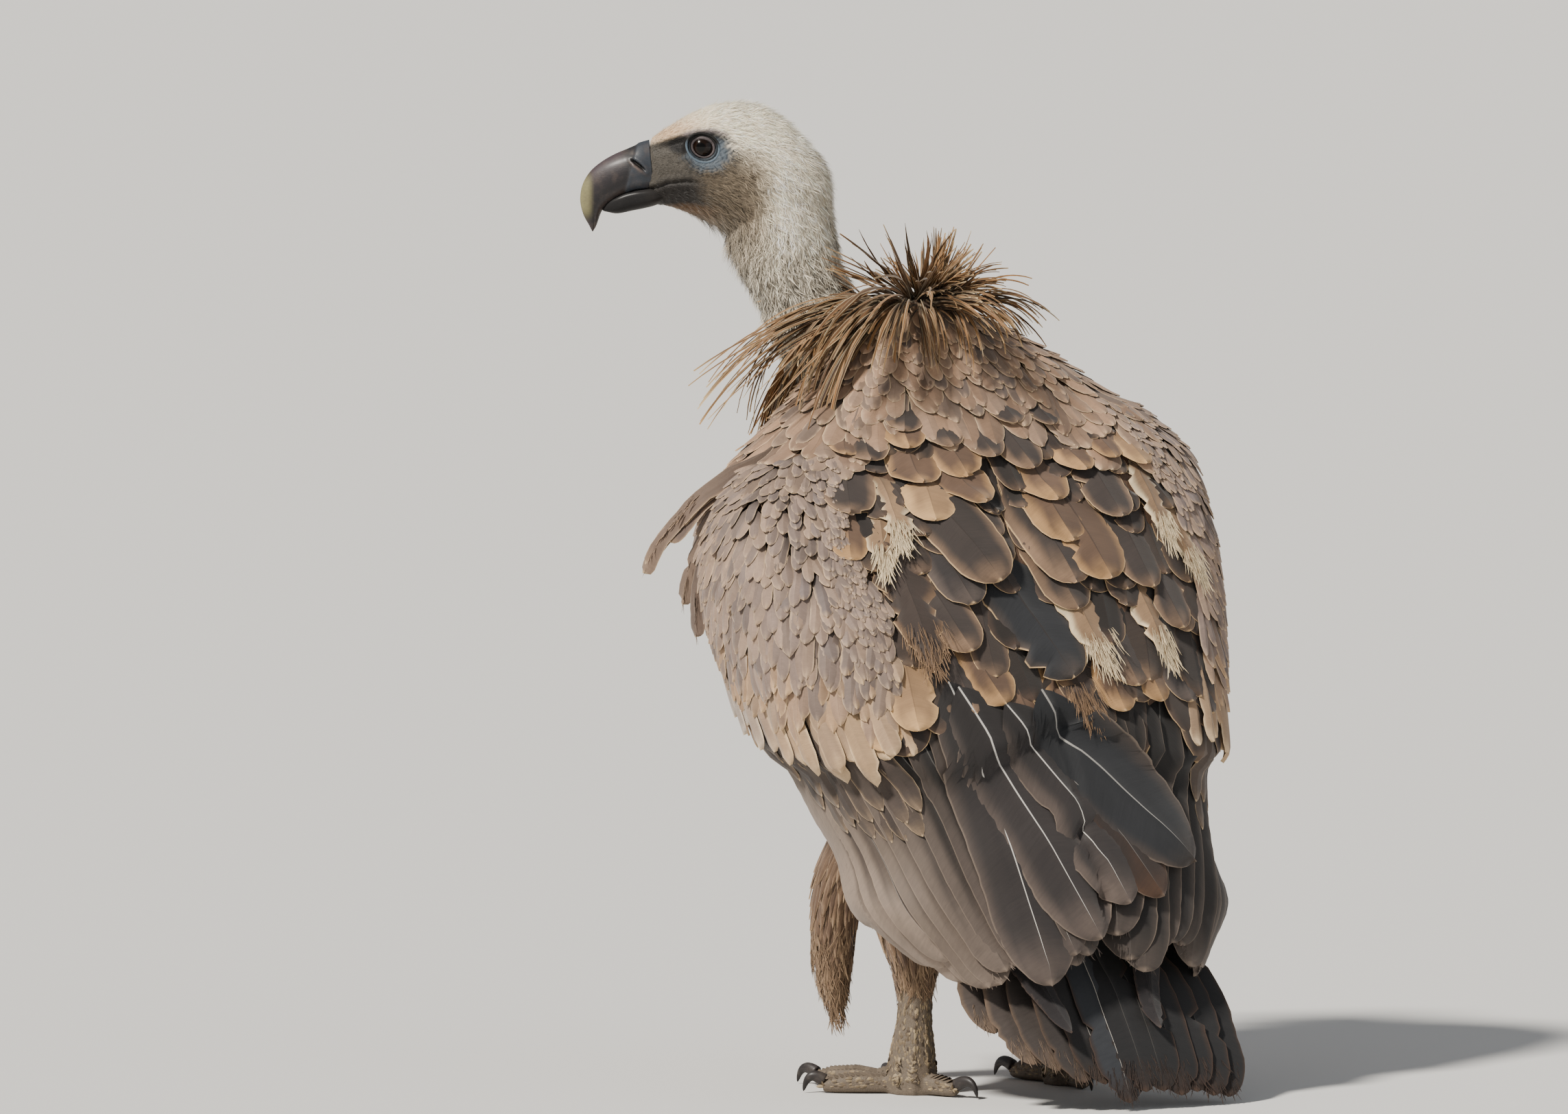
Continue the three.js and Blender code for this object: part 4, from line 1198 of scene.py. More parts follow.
# ---- head and neck
class Markings:
    """The colours of the head and neck, which skin and down share, with painted shade under the brow, in the
    wrinkles round the eye, and partly on the cheek and the neck's side.
    """

    CREAM, TAN, CHEEK, BARE = tint("f6ead3"), tint("c99d6b"), tint("5f5343"), tint("586169")
    FACE, JAW, DARK, NECK = tint("4a453e"), tint("1e1a18"), tint("0f0c0b"), tint("bfb6a5")
    CHIN, SIDE = tint("8f6b45"), tint("7c6a53")
    # the dark blue-grey of the wrinkles' grooves is painted shade
    GROOVE, RIDGE = tint("27303a"), tint("85797a")
    GAPE = ((-20, 2, 13.5, 27.8, 42.9), (-27, -27.5, -26.4, -28.2, -34.6))

    @staticmethod
    def brow(a: Array) -> Array:
        """Height of the brow over the eye's centre, at a reach in front of it."""
        return np.interp(a, [-26, -17, -7, 7, 20, 30, 42], [3, 10.5, 13.6, 12.6, 8.5, 5.5, 2])

    @staticmethod
    def bare(a: Array, b: Array) -> Array:
        """How far out each place lies from the eye, where 1 is the border of the bare skin round it."""
        return np.hypot((a + 4.0) / 17.0, (b + 3.4) / 15.2)

    @staticmethod
    def spoke(a: Array, b: Array) -> Array:
        """The angle of each place round the eye."""
        return np.arctan2(b + 3, a + 4)

    @classmethod
    def crease(cls, a: Array, b: Array) -> Array:
        """The wrinkles round the eye, from -1 in a groove to 1 on a fold."""
        spoke = cls.spoke(a, b)
        wander = 0.9 * np.sin(5 * spoke) + 0.7 * np.sin(11 * spoke + 1) + 0.5 * np.sin(23 * spoke)
        return np.sin(cls.bare(a, b) * 42 + wander)

    @classmethod
    def head(cls, at: Array) -> Array:
        """Colours the skin of head and neck.

        Args:
            at: Points of the head's frame.

        Returns:
            The colour at each.
        """
        a, b = at[..., 0] - EYE[0], at[..., 2] - EYE[2]
        spoke = cls.spoke(a, b)
        ring = cls.bare(a, b) + 0.05 * np.sin(7 * spoke) + 0.06 * np.sin(13 * spoke + 2)
        under = smooth(1.5, -2.5, b - cls.brow(a))
        gape = b - np.interp(a, *cls.GAPE)
        colour = np.broadcast_to(cls.CREAM, at.shape).copy()

        def paint(hue: Array, share: Array) -> None:
            """Lays a colour over the others."""
            colour[:] = mix(colour, hue, np.clip(share, 0, 1)[..., None])

        paint(cls.TAN, smooth(-14, 26, a) * smooth(-6, 8, b) * smooth(20, 2, b - cls.brow(a)) * 0.7)
        # the neck's side behind the cheek: brown-grey down, darker partly as painted shade
        paint(cls.SIDE, smooth(-60, -34, a) * smooth(2, -22, b) * 0.85)
        # the cheek behind the eye: brown down, darker partly as painted shade
        paint(cls.CHEEK, smooth(-50, -20, a) * smooth(4, -10, b) * smooth(-70, -46, b) * 0.8)
        paint(cls.FACE, smooth(-6, 12, a) * under)
        paint(cls.JAW, smooth(-14, 14, a) * smooth(9, -2, gape) * smooth(-24, -16, gape) * 0.96)
        paint(cls.CHIN, smooth(-16, 6, a) * smooth(-14, -19, gape) * smooth(-60, -46, b) * 0.5)
        paint(cls.NECK, np.maximum(smooth(-44, -110, b), 0.55 * smooth(-52, -80, a) * smooth(12, -20, b)))
        paint(cls.BARE, smooth(1.18, 0.74, ring) * smooth(1.5, -1.5, b - cls.brow(a)))
        # painted shade in the grooves of the wrinkles round the eye
        paint(cls.GROOVE, smooth(0.3, -0.7, cls.crease(a, b)) * smooth(1.45, 1.0, ring) * under * 0.85)
        paint(cls.RIDGE, bump(b - cls.brow(a) + 1.2, 1.7) * smooth(-24, -12, a) * smooth(22, 12, a) * 0.85)
        # the dark patch before the eye: dark lores, darkened further as painted shadow of the brow
        paint(cls.DARK, smooth(1.3, 0.7, np.hypot((a - 16.5) / 10, (b - 1) / 6.5)))
        # painted shadow: a dark band under the brow
        paint(cls.DARK, bump(b - cls.brow(a) + 4.4, 2.6) * smooth(-24, -8, a) * smooth(38, 20, a) * 0.95)
        paint(cls.DARK, smooth(10.5, 8.6, np.hypot(a, b)) * 0.8)
        return colour


def eye_hollow(far: Array) -> Array:
    """How far out the round hollow of the skin lies, at a distance from the eye's middle."""
    return 45.8 - np.sqrt(np.maximum(22.0**2 - far**2, 0.1))


@dataclass
class HeadAndNeck:
    """The skin of the head and neck, as rings from the foot of the neck to the bill, and its down."""

    columns: int = 160
    pivot: tuple[float, float] = (40.0, -80.0)  # forward and up in the head's frame, under the throat
    neck_low: float = 500.0
    face_end: float = 89.0
    coat: float = 1.5
    neck_line: Profile = field(default_factory=lambda: Profile([
        (498, 2, -122), (532, 24, -160), (562, 44, -180), (592, 56, -186), (620, 67, -190),
    ]))

    def __post_init__(self) -> None:
        """Shapes the skin and lays out its unwrap."""
        self.centres, self.backs = self._rings()
        self.points = self._skin()
        self._measure()
        self._sculpt()
        self._measure()
        rows, columns, _ = self.points.shape
        u, v = np.arange(columns) / columns, np.arange(rows)[:, None] / (rows - 1)
        self.places = stack(0.01 + 0.48 * u, 0.01 + 0.98 * v)

    def _rings(self) -> tuple[Array, Array]:
        """The centre of each ring, and the way to the nape or crown in its plane."""
        foot = SKULL + self.pivot[1] * UP
        centres, backs = [], []
        for height in np.arange(self.neck_low, foot[2], 2.6):
            x, y = self.neck_line(height)
            centres.append((x, y, height))
            backs.append(-FORWARD)
        for angle in np.concatenate([np.arange(0, 60, 2.0), np.arange(60, 90, 1.1)]):
            out = -FORWARD * math.cos(math.radians(angle)) + UP * math.sin(math.radians(angle))
            pivot = SKULL + self.pivot[0] * FORWARD + self.pivot[1] * UP
            centres.append(pivot + out * mix(55, 76, angle / 90))
            backs.append(out)
        for x in np.arange(self.pivot[0], self.face_end, 0.95):
            centres.append(SKULL + x * FORWARD + mix(-4, -8, (x - 40) / 50) * UP)
            backs.append(UP)
        return np.array(centres), np.array(backs)

    def _skin(self) -> Array:
        """Points of the rings, where rays from outside first meet the packed head and neck."""
        tree, _ = packed_shape(("head", "neck", "left_eye", "right_eye"))
        turns = ring_turns(self.columns)
        ways = np.cos(turns)[None, :, None] * self.backs[:, None] + np.sin(turns)[None, :, None] * LEFTWARD
        radii = np.zeros(ways.shape[:2])
        for i, centre in enumerate(self.centres):
            for j in range(self.columns):
                out = Vector(ways[i, j])
                place, _, _, gone = tree.ray_cast(Vector(centre) + out * 110, -out, 110)
                radii[i, j] = 110 - gone if place is not None else 30.0
        for _ in range(5):
            radii = soften(radii)
        points = self.centres[:, None] + ways * radii[..., None]
        bent = bump(np.arange(len(points)) - np.argmax(self.backs[:, 2] > 0.01), 10.0)[1:-1, None, None]
        for _ in range(24):
            points[1:-1] += bent * 0.5 * (0.5 * (points[:-2] + points[2:]) - points[1:-1])
        return points

    def _measure(self) -> None:
        """Works out the outward direction at each point of the rings, and the points in the head's frame."""
        across = np.roll(self.points, -1, 1) - np.roll(self.points, 1, 1)
        self.normals = unit(np.cross(np.gradient(self.points, axis=0), across))
        self.local = in_head(self.points)

    def _sculpt(self) -> None:
        """Presses in the coat's depth and raises the brow, cheeks, gape, ear and throat folds."""
        x, y, z = np.moveaxis(self.local, -1, 0)
        a, b = x - EYE[0], z - EYE[2]
        ring, above = Markings.bare(a, b), b - Markings.brow(a)
        lift = -mix(self.coat, 0.7, np.maximum(smooth(1.2, 0.9, ring), smooth(64, 84, x)))
        lift -= 2.2 * smooth(mix(80, 86, smooth(-8, 12, z)), 89, x)
        along = smooth(-26, -10, a) * smooth(42, 30, a)
        lift += 2.6 * bump(above + 0.6, 3.0) * along
        lift -= 1.8 * bump(above + 5.0, 3.4) * along * smooth(6, 14, a)
        lift += 1.2 * bump(ring - 1.12, 0.12) * smooth(2, -8, b)
        gape = EYE[2] + np.interp(a, *Markings.GAPE)
        lift -= 1.5 * bump(z - gape, 1.3) * smooth(44, 60, x)
        lift += 0.8 * (bump(z - gape - 3.6, 2.2) + bump(z - gape + 3.6, 2.2)) * smooth(40, 62, x)
        lift += 0.7 * Markings.crease(a, b) * smooth(1.35, 1.05, ring) * smooth(0.62, 0.75, ring)
        rays = np.sin(27 * Markings.spoke(a, b) + 3 * ring)
        lift += 0.3 * rays * smooth(1.6, 1.1, ring) * smooth(0.8, 1.0, ring)
        cheek = np.sin(1.5 * x + 0.5 * z + 2 * np.sin(0.5 * z)) * np.sin(0.8 * z + 0.4 * x)
        lift += 0.3 * cheek * smooth(14, 26, x) * smooth(4, -6, z) * smooth(-44, -34, z)
        ear = np.hypot(x - 10, (z + 12) / 1.3)
        lift -= 1.6 * bump(ear, 3.4)
        lift += 0.7 * bump(ear - 5.6, 1.8)
        folds = np.sin(x * 0.75 + 1.6 * np.sin(z * 0.12)) * smooth(-28, -42, z) * smooth(70, 40, x)
        lift += 0.3 * folds * smooth(-10, 10, x)
        lift += 0.4 * np.sin(z * 0.42 + 0.8 * np.sin(x * 0.16)) * smooth(-62, -84, z)
        self.points = self.points + self.normals * lift[..., None]
        far = np.hypot(a, b)
        dish = eye_hollow(far) - 0.4
        ball = EYE[1] + np.sqrt(np.maximum(EYE_RADIUS**2 - far**2, 0)) - 2.4
        target = np.where(far < 8.4, np.minimum(ball, dish), dish)
        share = smooth(16.5, 11.5, far) * (np.abs(y) > 8)
        move = (target - np.abs(in_head(self.points)[..., 1])) * share * np.sign(y)
        self.points = self.points + move[..., None] * LEFTWARD

    def surface(self, skin: Surface) -> None:
        """Adds the rings and the lids to the skin.

        Args:
            skin: What they are added to.
        """
        points, faces = closed_loft(self.points)
        colour = np.concatenate([Markings.head(self.local).reshape(-1, 3), np.tile(Markings.DARK, (2, 1))])
        place = np.concatenate([self.places.reshape(-1, 2), [[0.25, 0.01], [0.25, 0.99]]])
        skin.add(points, faces, OFBake=place, mid=colour)
        for side in Side:
            self._lids(skin, side.value)

    def _lids(self, skin: Surface, side: int) -> None:
        """Adds the rolled edges of the eyelids and a crease above them, their upper halves darkened as
        painted shadow of the brow.

        Args:
            skin: What they are added to.
            side: 1 for the left eye, -1 for the right.
        """
        steps, count = 56, 10
        turn, spin = ring_turns(steps), ring_turns(count)
        for grow, thick, hue in ((0.0, 1.1, "544c4d"), (2.1, 0.8, "2b333a"), (4.0, 0.9, "5d6c79")):
            wide, tall = 8.4 + grow, 7.7 + grow
            x = EYE[0] + wide * np.cos(turn)
            flatter = np.where(np.sin(turn) > 0, 0.86, 1.0)
            z = EYE[2] + tall * np.sin(turn) * flatter + (0.12 * wide) * np.cos(turn)
            far = np.hypot(x - EYE[0], z - EYE[2])
            ball = EYE[1] + np.sqrt(np.maximum((EYE_RADIUS + 0.3) ** 2 - far**2, 0))
            y = np.maximum(eye_hollow(far), np.where(far < EYE_RADIUS, ball, 0)) - 0.5
            path = head_point(x, side * y, z)
            out = unit(path - head_point(EYE[0], side * EYE[1], EYE[2]))
            across = np.cross(out, unit(np.roll(path, -1, 0) - np.roll(path, 1, 0)))
            ring = np.cos(spin)[None, :, None] * across[:, None] + np.sin(spin)[None, :, None] * out[:, None]
            flat = (path[:, None] + ring * (thick * (1 + 0.25 * np.sin(turn)))[:, None, None]).reshape(-1, 3)
            faces = grid_faces(steps + 1, count, wrap=True) % (steps * count)
            # painted shadow of the brow over the upper halves of the outer lid rings
            brow_shadow = np.repeat(smooth(-0.1, 0.5, np.sin(turn)) * (grow > 0), count)[:, None]
            place = np.full((len(flat), 2), 0.6)
            skin.add(flat, [faces[:, ::side]], OFBake=place, mid=mix(tint(hue), Markings.DARK, brow_shadow))

    def down(self, sown: Sown, count: int, low: float, high: float, rng: Random) -> None:
        """Sows the short down of the head or the longer, looser down of the neck.

        Args:
            sown: The places that it is added to.
            count: How many pieces.
            low: The height from which it grows, in the head's frame.
            high: The height up to which it grows.
            rng: The source of its unevenness.
        """
        columns = self.points.shape[1]
        sides = np.roll(self.points, -1, 1) - self.points, np.gradient(self.points, axis=0)
        area = np.linalg.norm(np.cross(*sides), axis=-1)
        x, z = self.local[..., 0], self.local[..., 2]
        upper = smooth(-8, 12, z)
        dense = smooth(0.92, 1.2, Markings.bare(x - EYE[0], z - EYE[2]))
        dense = dense * mix(1.0, 0.7, smooth(60, 80, x) * smooth(-10, -20, z))
        dense = dense * smooth(mix(88, 92, upper), mix(83, 86, upper), x) * (z > low) * (z <= high)
        weight = (area * dense)[:-1].ravel()
        cell = rng.choice(len(weight), count, p=weight / weight.sum())
        i, j = cell // columns, cell % columns
        k = (j + 1) % columns
        u, v = rng.random((2, count, 1))

        def within(grid: Array) -> Array:
            """A grid's values inside the chosen cells."""
            low, high = (grid[row, j] * (1 - u) + grid[row, k] * u for row in (i, i + 1))
            return low * (1 - v) + high * v

        at, out = within(self.points), unit(within(self.normals))
        back = unit(self.points[i, j] - self.points[i + 1, j])
        here = in_head(at)
        hx, hy, hz = here.T
        swirl = np.sin(hx * 0.55 + 1.5 * np.sin(hz * 0.4))
        swirl = swirl + np.sin(hz * 0.62 + hy * 0.5 + 2 * np.sin(hx * 0.21))
        swirl = swirl * mix(0.12, 0.42, smooth(44, 10, hx))
        back = unit(back + np.cross(out, back) * swirl[:, None] + rng.normal(0, 0.26, back.shape))
        near = smooth(26, 14, np.hypot(hx - EYE[0], hz - EYE[2]))
        above = smooth(-4, 6, hz - EYE[2] - Markings.brow(hx - EYE[0]))
        throat = bump(hx - 42, 24) * bump(hz + 54, 26)
        length = mix(8.0, mix(3.0, 5.0, above), smooth(6, 60, hx)) * mix(1.0, 0.6, near * (1 - above))
        length = (mix(length, 9.0, smooth(-40, -90, hz)) + 9 * throat) * rng.uniform(0.6, 1.4, count)
        wide = mix(0.42, 0.85, smooth(-30, -100, hz)) * mix(1, 0.7, smooth(20, 60, hx))
        wide = wide * rng.uniform(0.7, 1.3, count)
        clump = np.sin(hx * 0.9 + 2 * np.sin(hz * 0.31)) * np.sin(hz * 0.8 + hy * 0.5)
        stand = length * (rng.uniform(0.26, 0.66, count) + 0.2 * throat + 0.14 * clump)
        loose = smooth(30, -10, hz)
        shade = rng.normal(0.97, mix(0.2, 0.36, loose), count) + mix(0.1, 0.24, loose) * clump
        spots = smooth(0.1, 0.6, np.sin(hx * 0.42 + 2 * np.sin(hz * 0.23)) * np.sin(hz * 0.37 + hy * 0.3))
        dark = rng.random(count) < mix(0.06, 0.4, spots) * smooth(-50, -100, hz)
        mid = np.clip(Markings.head(here) * np.where(dark, 0.35, shade * 1.1)[:, None], 0, 0.95)
        sown.add(at - out * 0.5, back, out, stack(wide, length, stand), self.places[i, j], mid)


# ---- tubes, eyes, bill and claws
def tube(path: Array, across: Array, wide: Array, deep: Array, count: int, square: float = 2.0) -> Array:
    """Rings round a path, ready for closed_loft.

    Args:
        path: The middle of each ring.
        across: The sideways direction of each ring, or of all.
        wide: Half the width of each.
        deep: Half the depth of each.
        count: Points in a ring.
        square: 2 is an oval, more is squarer.

    Returns:
        Points by ring and place in the ring.
    """
    ahead = unit(np.gradient(path, axis=0))
    across = np.broadcast_to(across, path.shape)
    across = unit(across - (across * ahead).sum(-1, keepdims=True) * ahead)
    turn = ring_turns(count)
    c, s = (np.sign(f) * np.abs(f) ** (2 / square) for f in (np.cos(turn), np.sin(turn)))
    sideways = across[:, None] * (wide[:, None] * c)[..., None]
    return path[:, None] + sideways + np.cross(ahead, across)[:, None] * (deep[:, None] * s)[..., None]


@dataclass
class Eyes:
    """The two eyeballs, with pupil, iris and dark rim by distance from the middle of the gaze."""

    rings: int = 30
    sides: int = 48
    gaze: float = 0.16  # how far forward each eye looks

    def build(self) -> None:
        """Makes both eyes."""
        finish = self._finish()
        angle, turn = np.linspace(0, np.pi, self.rings)[1:-1], ring_turns(self.sides)
        bulge = EYE_RADIUS + 0.5 * bump(angle, 0.5)
        for side in Side:
            look = unit(LEFTWARD * side.value + FORWARD * self.gaze - UP * 0.02)
            right = unit(np.cross(look, UP))
            centre = head_point(EYE[0], side.value * EYE[1], EYE[2])
            ring = np.cos(turn)[None, :, None] * right + np.sin(turn)[None, :, None] * np.cross(right, look)
            ways = np.cos(angle)[:, None, None] * look + np.sin(angle)[:, None, None] * ring
            flat, faces = closed_loft((centre + bulge[:, None, None] * ways)[::-1])
            flat[-2:] = centre - EYE_RADIUS * look, centre + (EYE_RADIUS + 0.5) * look
            gone = np.concatenate([np.repeat(angle[::-1], self.sides), [np.pi, 0.0]])
            ball = Surface()
            ball.add(flat, [f[:, ::-1] for f in faces], gaze=gone)
            add_piece(ball.build(f"{side.word}_eyeball"), finish, [f"{side.word}_eye"])

    def _finish(self) -> Material:
        """A wet, dark brown iris round a black pupil."""
        made, g, shader = new_material("Eye")
        gone = g.attribute("gaze", "Fac")
        iris = g.blend(g.noise(g.where(), 900.0, 3.0), tint("0d0705"), tint("20120a"))
        iris = g.blend(g.ease(gone, 0.5, 0.78), iris, tint("0d0706"))
        colour = g.blend(g.ease(gone, 0.30, 0.34), tint("050404"), iris)
        g.fill(shader, {
            "Base Color": g.blend(g.ease(gone, 0.80, 0.9), colour, tint("332a26")), "Roughness": 0.2,
            "Specular IOR Level": 0.1, "Coat Weight": 0.3, "Coat Roughness": 0.03,
        })
        return made


@dataclass(frozen=True)
class HornFinish:
    """The finish of bill and claws: layered horn, darker and lighter along its growth."""

    name: str
    dark: str
    light: str
    gloss: float

    def make(self) -> Material:
        """The material, which takes its zones from the mesh's own colour."""
        made, g, shader = new_material(self.name)
        layers = g.noise(g.stretch(g.where(), (1.0, 1.0, 2.2)), 500.0, 3.0, 0.6)
        scratches = g.noise(g.stretch(g.where(), (3.0, 3.0, 0.6)), 1100.0, 2.0)
        worn = g.ease(g.noise(g.where(), 150.0, 4.0), 0.45, 0.75)
        colour = g.blend(g.times(worn, 0.35), g.attribute("mid"), tint(self.light))
        g.fill(shader, {
            "Base Color": g.blend(g.times(layers, 0.4), colour, tint(self.dark), "MULTIPLY"),
            "Roughness": g.plus(self.gloss, g.times(scratches, 0.25)),
            "Specular IOR Level": 0.35, "Coat Weight": 0.12, "Coat Roughness": 0.25,
        })
        add_bump(g, shader, g.plus(layers, g.times(scratches, 0.4)), 0.25, 0.0005)
        return made


@dataclass
class Bill:
    """The hooked upper bill with its cere and nostrils, and the lower bill that fits under it."""

    steps: int = 120
    sides: int = 96
    ridge: Profile = field(default_factory=lambda: Profile([
        (0, 88.5, 16.5), (1, 96.4, 14.2), (2, 105, 10.6), (3, 114.8, 6.4), (4, 124.4, 0.8), (5, 133, -6.6),
        (6, 138.8, -16.6), (7, 140.6, -28), (8, 138.4, -38.6), (9, 134, -47), (10, 131.4, -52),
    ]))
    edge: Profile = field(default_factory=lambda: Profile([
        (0, 84.5, -20.0), (1, 93, -21), (2, 99, -21.6), (3, 106, -24), (4, 113, -27.6), (5, 119, -31.5),
        (6, 123.5, -35.6), (7, 125.6, -39.6), (8, 126.8, -43.2), (9, 128.6, -48), (10, 130.9, -51.8),
    ]))
    half: Profile = field(default_factory=lambda: Profile([
        (0, 13.6), (1, 14.9), (2, 14), (3, 12.8), (4, 11.2), (5, 9.4), (6, 7.6), (7, 6), (8, 4.4), (9, 2.4),
        (10, 0.5),
    ]))
    lower: Profile = field(default_factory=lambda: Profile([
        (77, -18.6, -28.4, 11.4), (84, -17.4, -31.9, 13.5), (94, -18, -34.6, 12.9), (103, -20, -36.4, 11.2),
        (112, -24, -38.4, 9.4), (118.5, -27.6, -39.1, 7.2), (123.5, -32, -38.8, 4.2),
    ]))
    nostril: tuple[float, float] = (96.3, -1.8)
    nostril_tilt: float = math.radians(38)

    def build(self) -> None:
        """Makes both halves of the bill."""
        for half, make, finish in (
            ("upper", self._upper, HornFinish("Bill horn", "3a3436", "5c4f47", 0.42)),
            ("lower", self._lower, HornFinish("Lower bill horn", "1a1819", "221f1e", 0.7)),
        ):
            add_piece(make().build(f"{half}_bill_horn"), finish.make(), [f"{half}_bill"])

    def _upper(self) -> Surface:
        """The upper bill from the cere to the hook."""
        key = np.linspace(0, 10, self.steps)
        (rx, rz), (ex, ez) = self.ridge(key).T, self.edge(key).T
        turn = ring_turns(self.sides)
        c, s = np.cos(turn)[None], np.sin(turn)[None]
        height = 0.5 + 0.5 * s
        y = self.half(key) * (1.06 - 0.3 * height**2) * np.sign(c) * np.abs(c) ** 0.8
        x = mix(ex[:, None], rx[:, None], height)
        z = mix(ez[:, None], rz[:, None], height)
        cere = smooth(101.0 - 0.25 * (z - 5), 98.5 - 0.25 * (z - 5), x)
        a, b = x - self.nostril[0], z - self.nostril[1]
        along = a * math.cos(self.nostril_tilt) + b * math.sin(self.nostril_tilt)
        off = -a * math.sin(self.nostril_tilt) + b * math.cos(self.nostril_tilt)
        slit = smooth(1.25, 0.75, np.hypot(along / 6.4, off / 1.3))
        below = bump(np.hypot(along / 7.0, (off + 2.2) / 1.0), 1.0)
        rim = bump(np.hypot(along / 7.6, off / 3.2) - 1.0, 0.4)
        swell = 0.9 * cere - 3.4 * slit * (np.abs(y) > 5) + 0.5 * rim * (np.abs(y) > 5)
        lip = 0.5 * bump(height - 0.14, 0.09) - 0.3 * bump(height - 0.26, 0.08)
        y = y + np.sign(y) * (swell + lip) * np.minimum(np.abs(c) * 2.0, 1)
        z = z + cere * 0.9 * np.maximum(s, 0) ** 2
        points, faces = closed_loft(head_point(x, y, z))
        colour = np.broadcast_to(tint("201e21"), (*x.shape, 3))
        for hue, share in (
            # painted sheen: the top of the culmen lighter and pinker
            ("514247", height**3 * smooth(104, 112, x) * smooth(139, 130, x) * 0.8),
            ("969066", smooth(129, 136, x) * smooth(-4, -16, z) * smooth(-46, -32, z) * 0.85),
            # the nostril slit is painted near-black as painted shade inside its opening
            ("353a42", cere), ("7d6a60", below * 0.7), ("030303", slit),
            ("3d3330", bump(height - 0.08, 0.1) * (1 - cere) * 0.6),
        ):
            colour = mix(colour, tint(hue), np.clip(share, 0, 1)[..., None])
        made = Surface()
        made.add(points, faces, mid=np.concatenate([colour.reshape(-1, 3), np.tile(tint("2e2b2f"), (2, 1))]))
        return made

    def _lower(self) -> Surface:
        """The lower bill, whose edges lie inside the upper."""
        x = np.linspace(77, 123.5, 50)
        top, bottom, half = self.lower(x).T
        path = head_point(x, 0 * x, (top + bottom) / 2)
        close = np.sqrt(np.clip(1 - ((x - 112) / 12.2).clip(0, 1) ** 2, 0.03, 1))
        rings = tube(path, LEFTWARD, half * mix(0.9, 1, close), (top - bottom) / 2 * close, 36, 2.4)
        points, faces = closed_loft(rings)
        made = Surface()
        made.add(points, faces, mid=ramp("1e1a18", "121011", smooth(84, 96, in_head(points)[:, :1])))
        return made


# ---- legs
@dataclass(frozen=True)
class Toe:
    """A toe: its turn from straight ahead in degrees, and its sizes in mm."""

    name: str
    turn: float
    length: float
    claw: float
    half: float

    def axes(self, side: int) -> tuple[Array, Array]:
        """The toe's direction on the floor, and the way across it."""
        turn = math.radians(20 + self.turn)
        x, y = side * math.sin(turn), -math.cos(turn)
        return np.array([x, y, 0.0]), np.array([-y, x, 0.0])


TOES = (
    Toe("middle", 0, 92, 27, 10), Toe("outer", 38, 66, 22, 9),
    Toe("inner", -34, 58, 28, 9), Toe("hind", 176, 46, 30, 9),
)
LEG_SPREAD = 68.0
SHANK = Profile([
    (12, 4, 13, 15), (30, 2, 13.5, 15), (54, 1, 12, 13.5), (82, 3, 11.5, 12.5), (112, 4, 11, 12),
])
THIGH = Profile([
    (96, 68, 2, 17, 20), (128, 70, -6, 25, 33), (165, 72, -18, 35, 48), (200, 72, -24, 40, 56),
    (236, 70, -22, 36, 52),
])
TROUSER = Profile([
    (50, 84, -84, 4, 5), (82, 86, -88, 12, 14), (118, 86, -86, 17, 19), (158, 84, -74, 22, 26),
    (196, 80, -50, 26, 34),
])


def ankle(side: Side) -> Array:
    """The middle of a shank, on the floor."""
    return np.array([side.value * LEG_SPREAD, -3, 0])


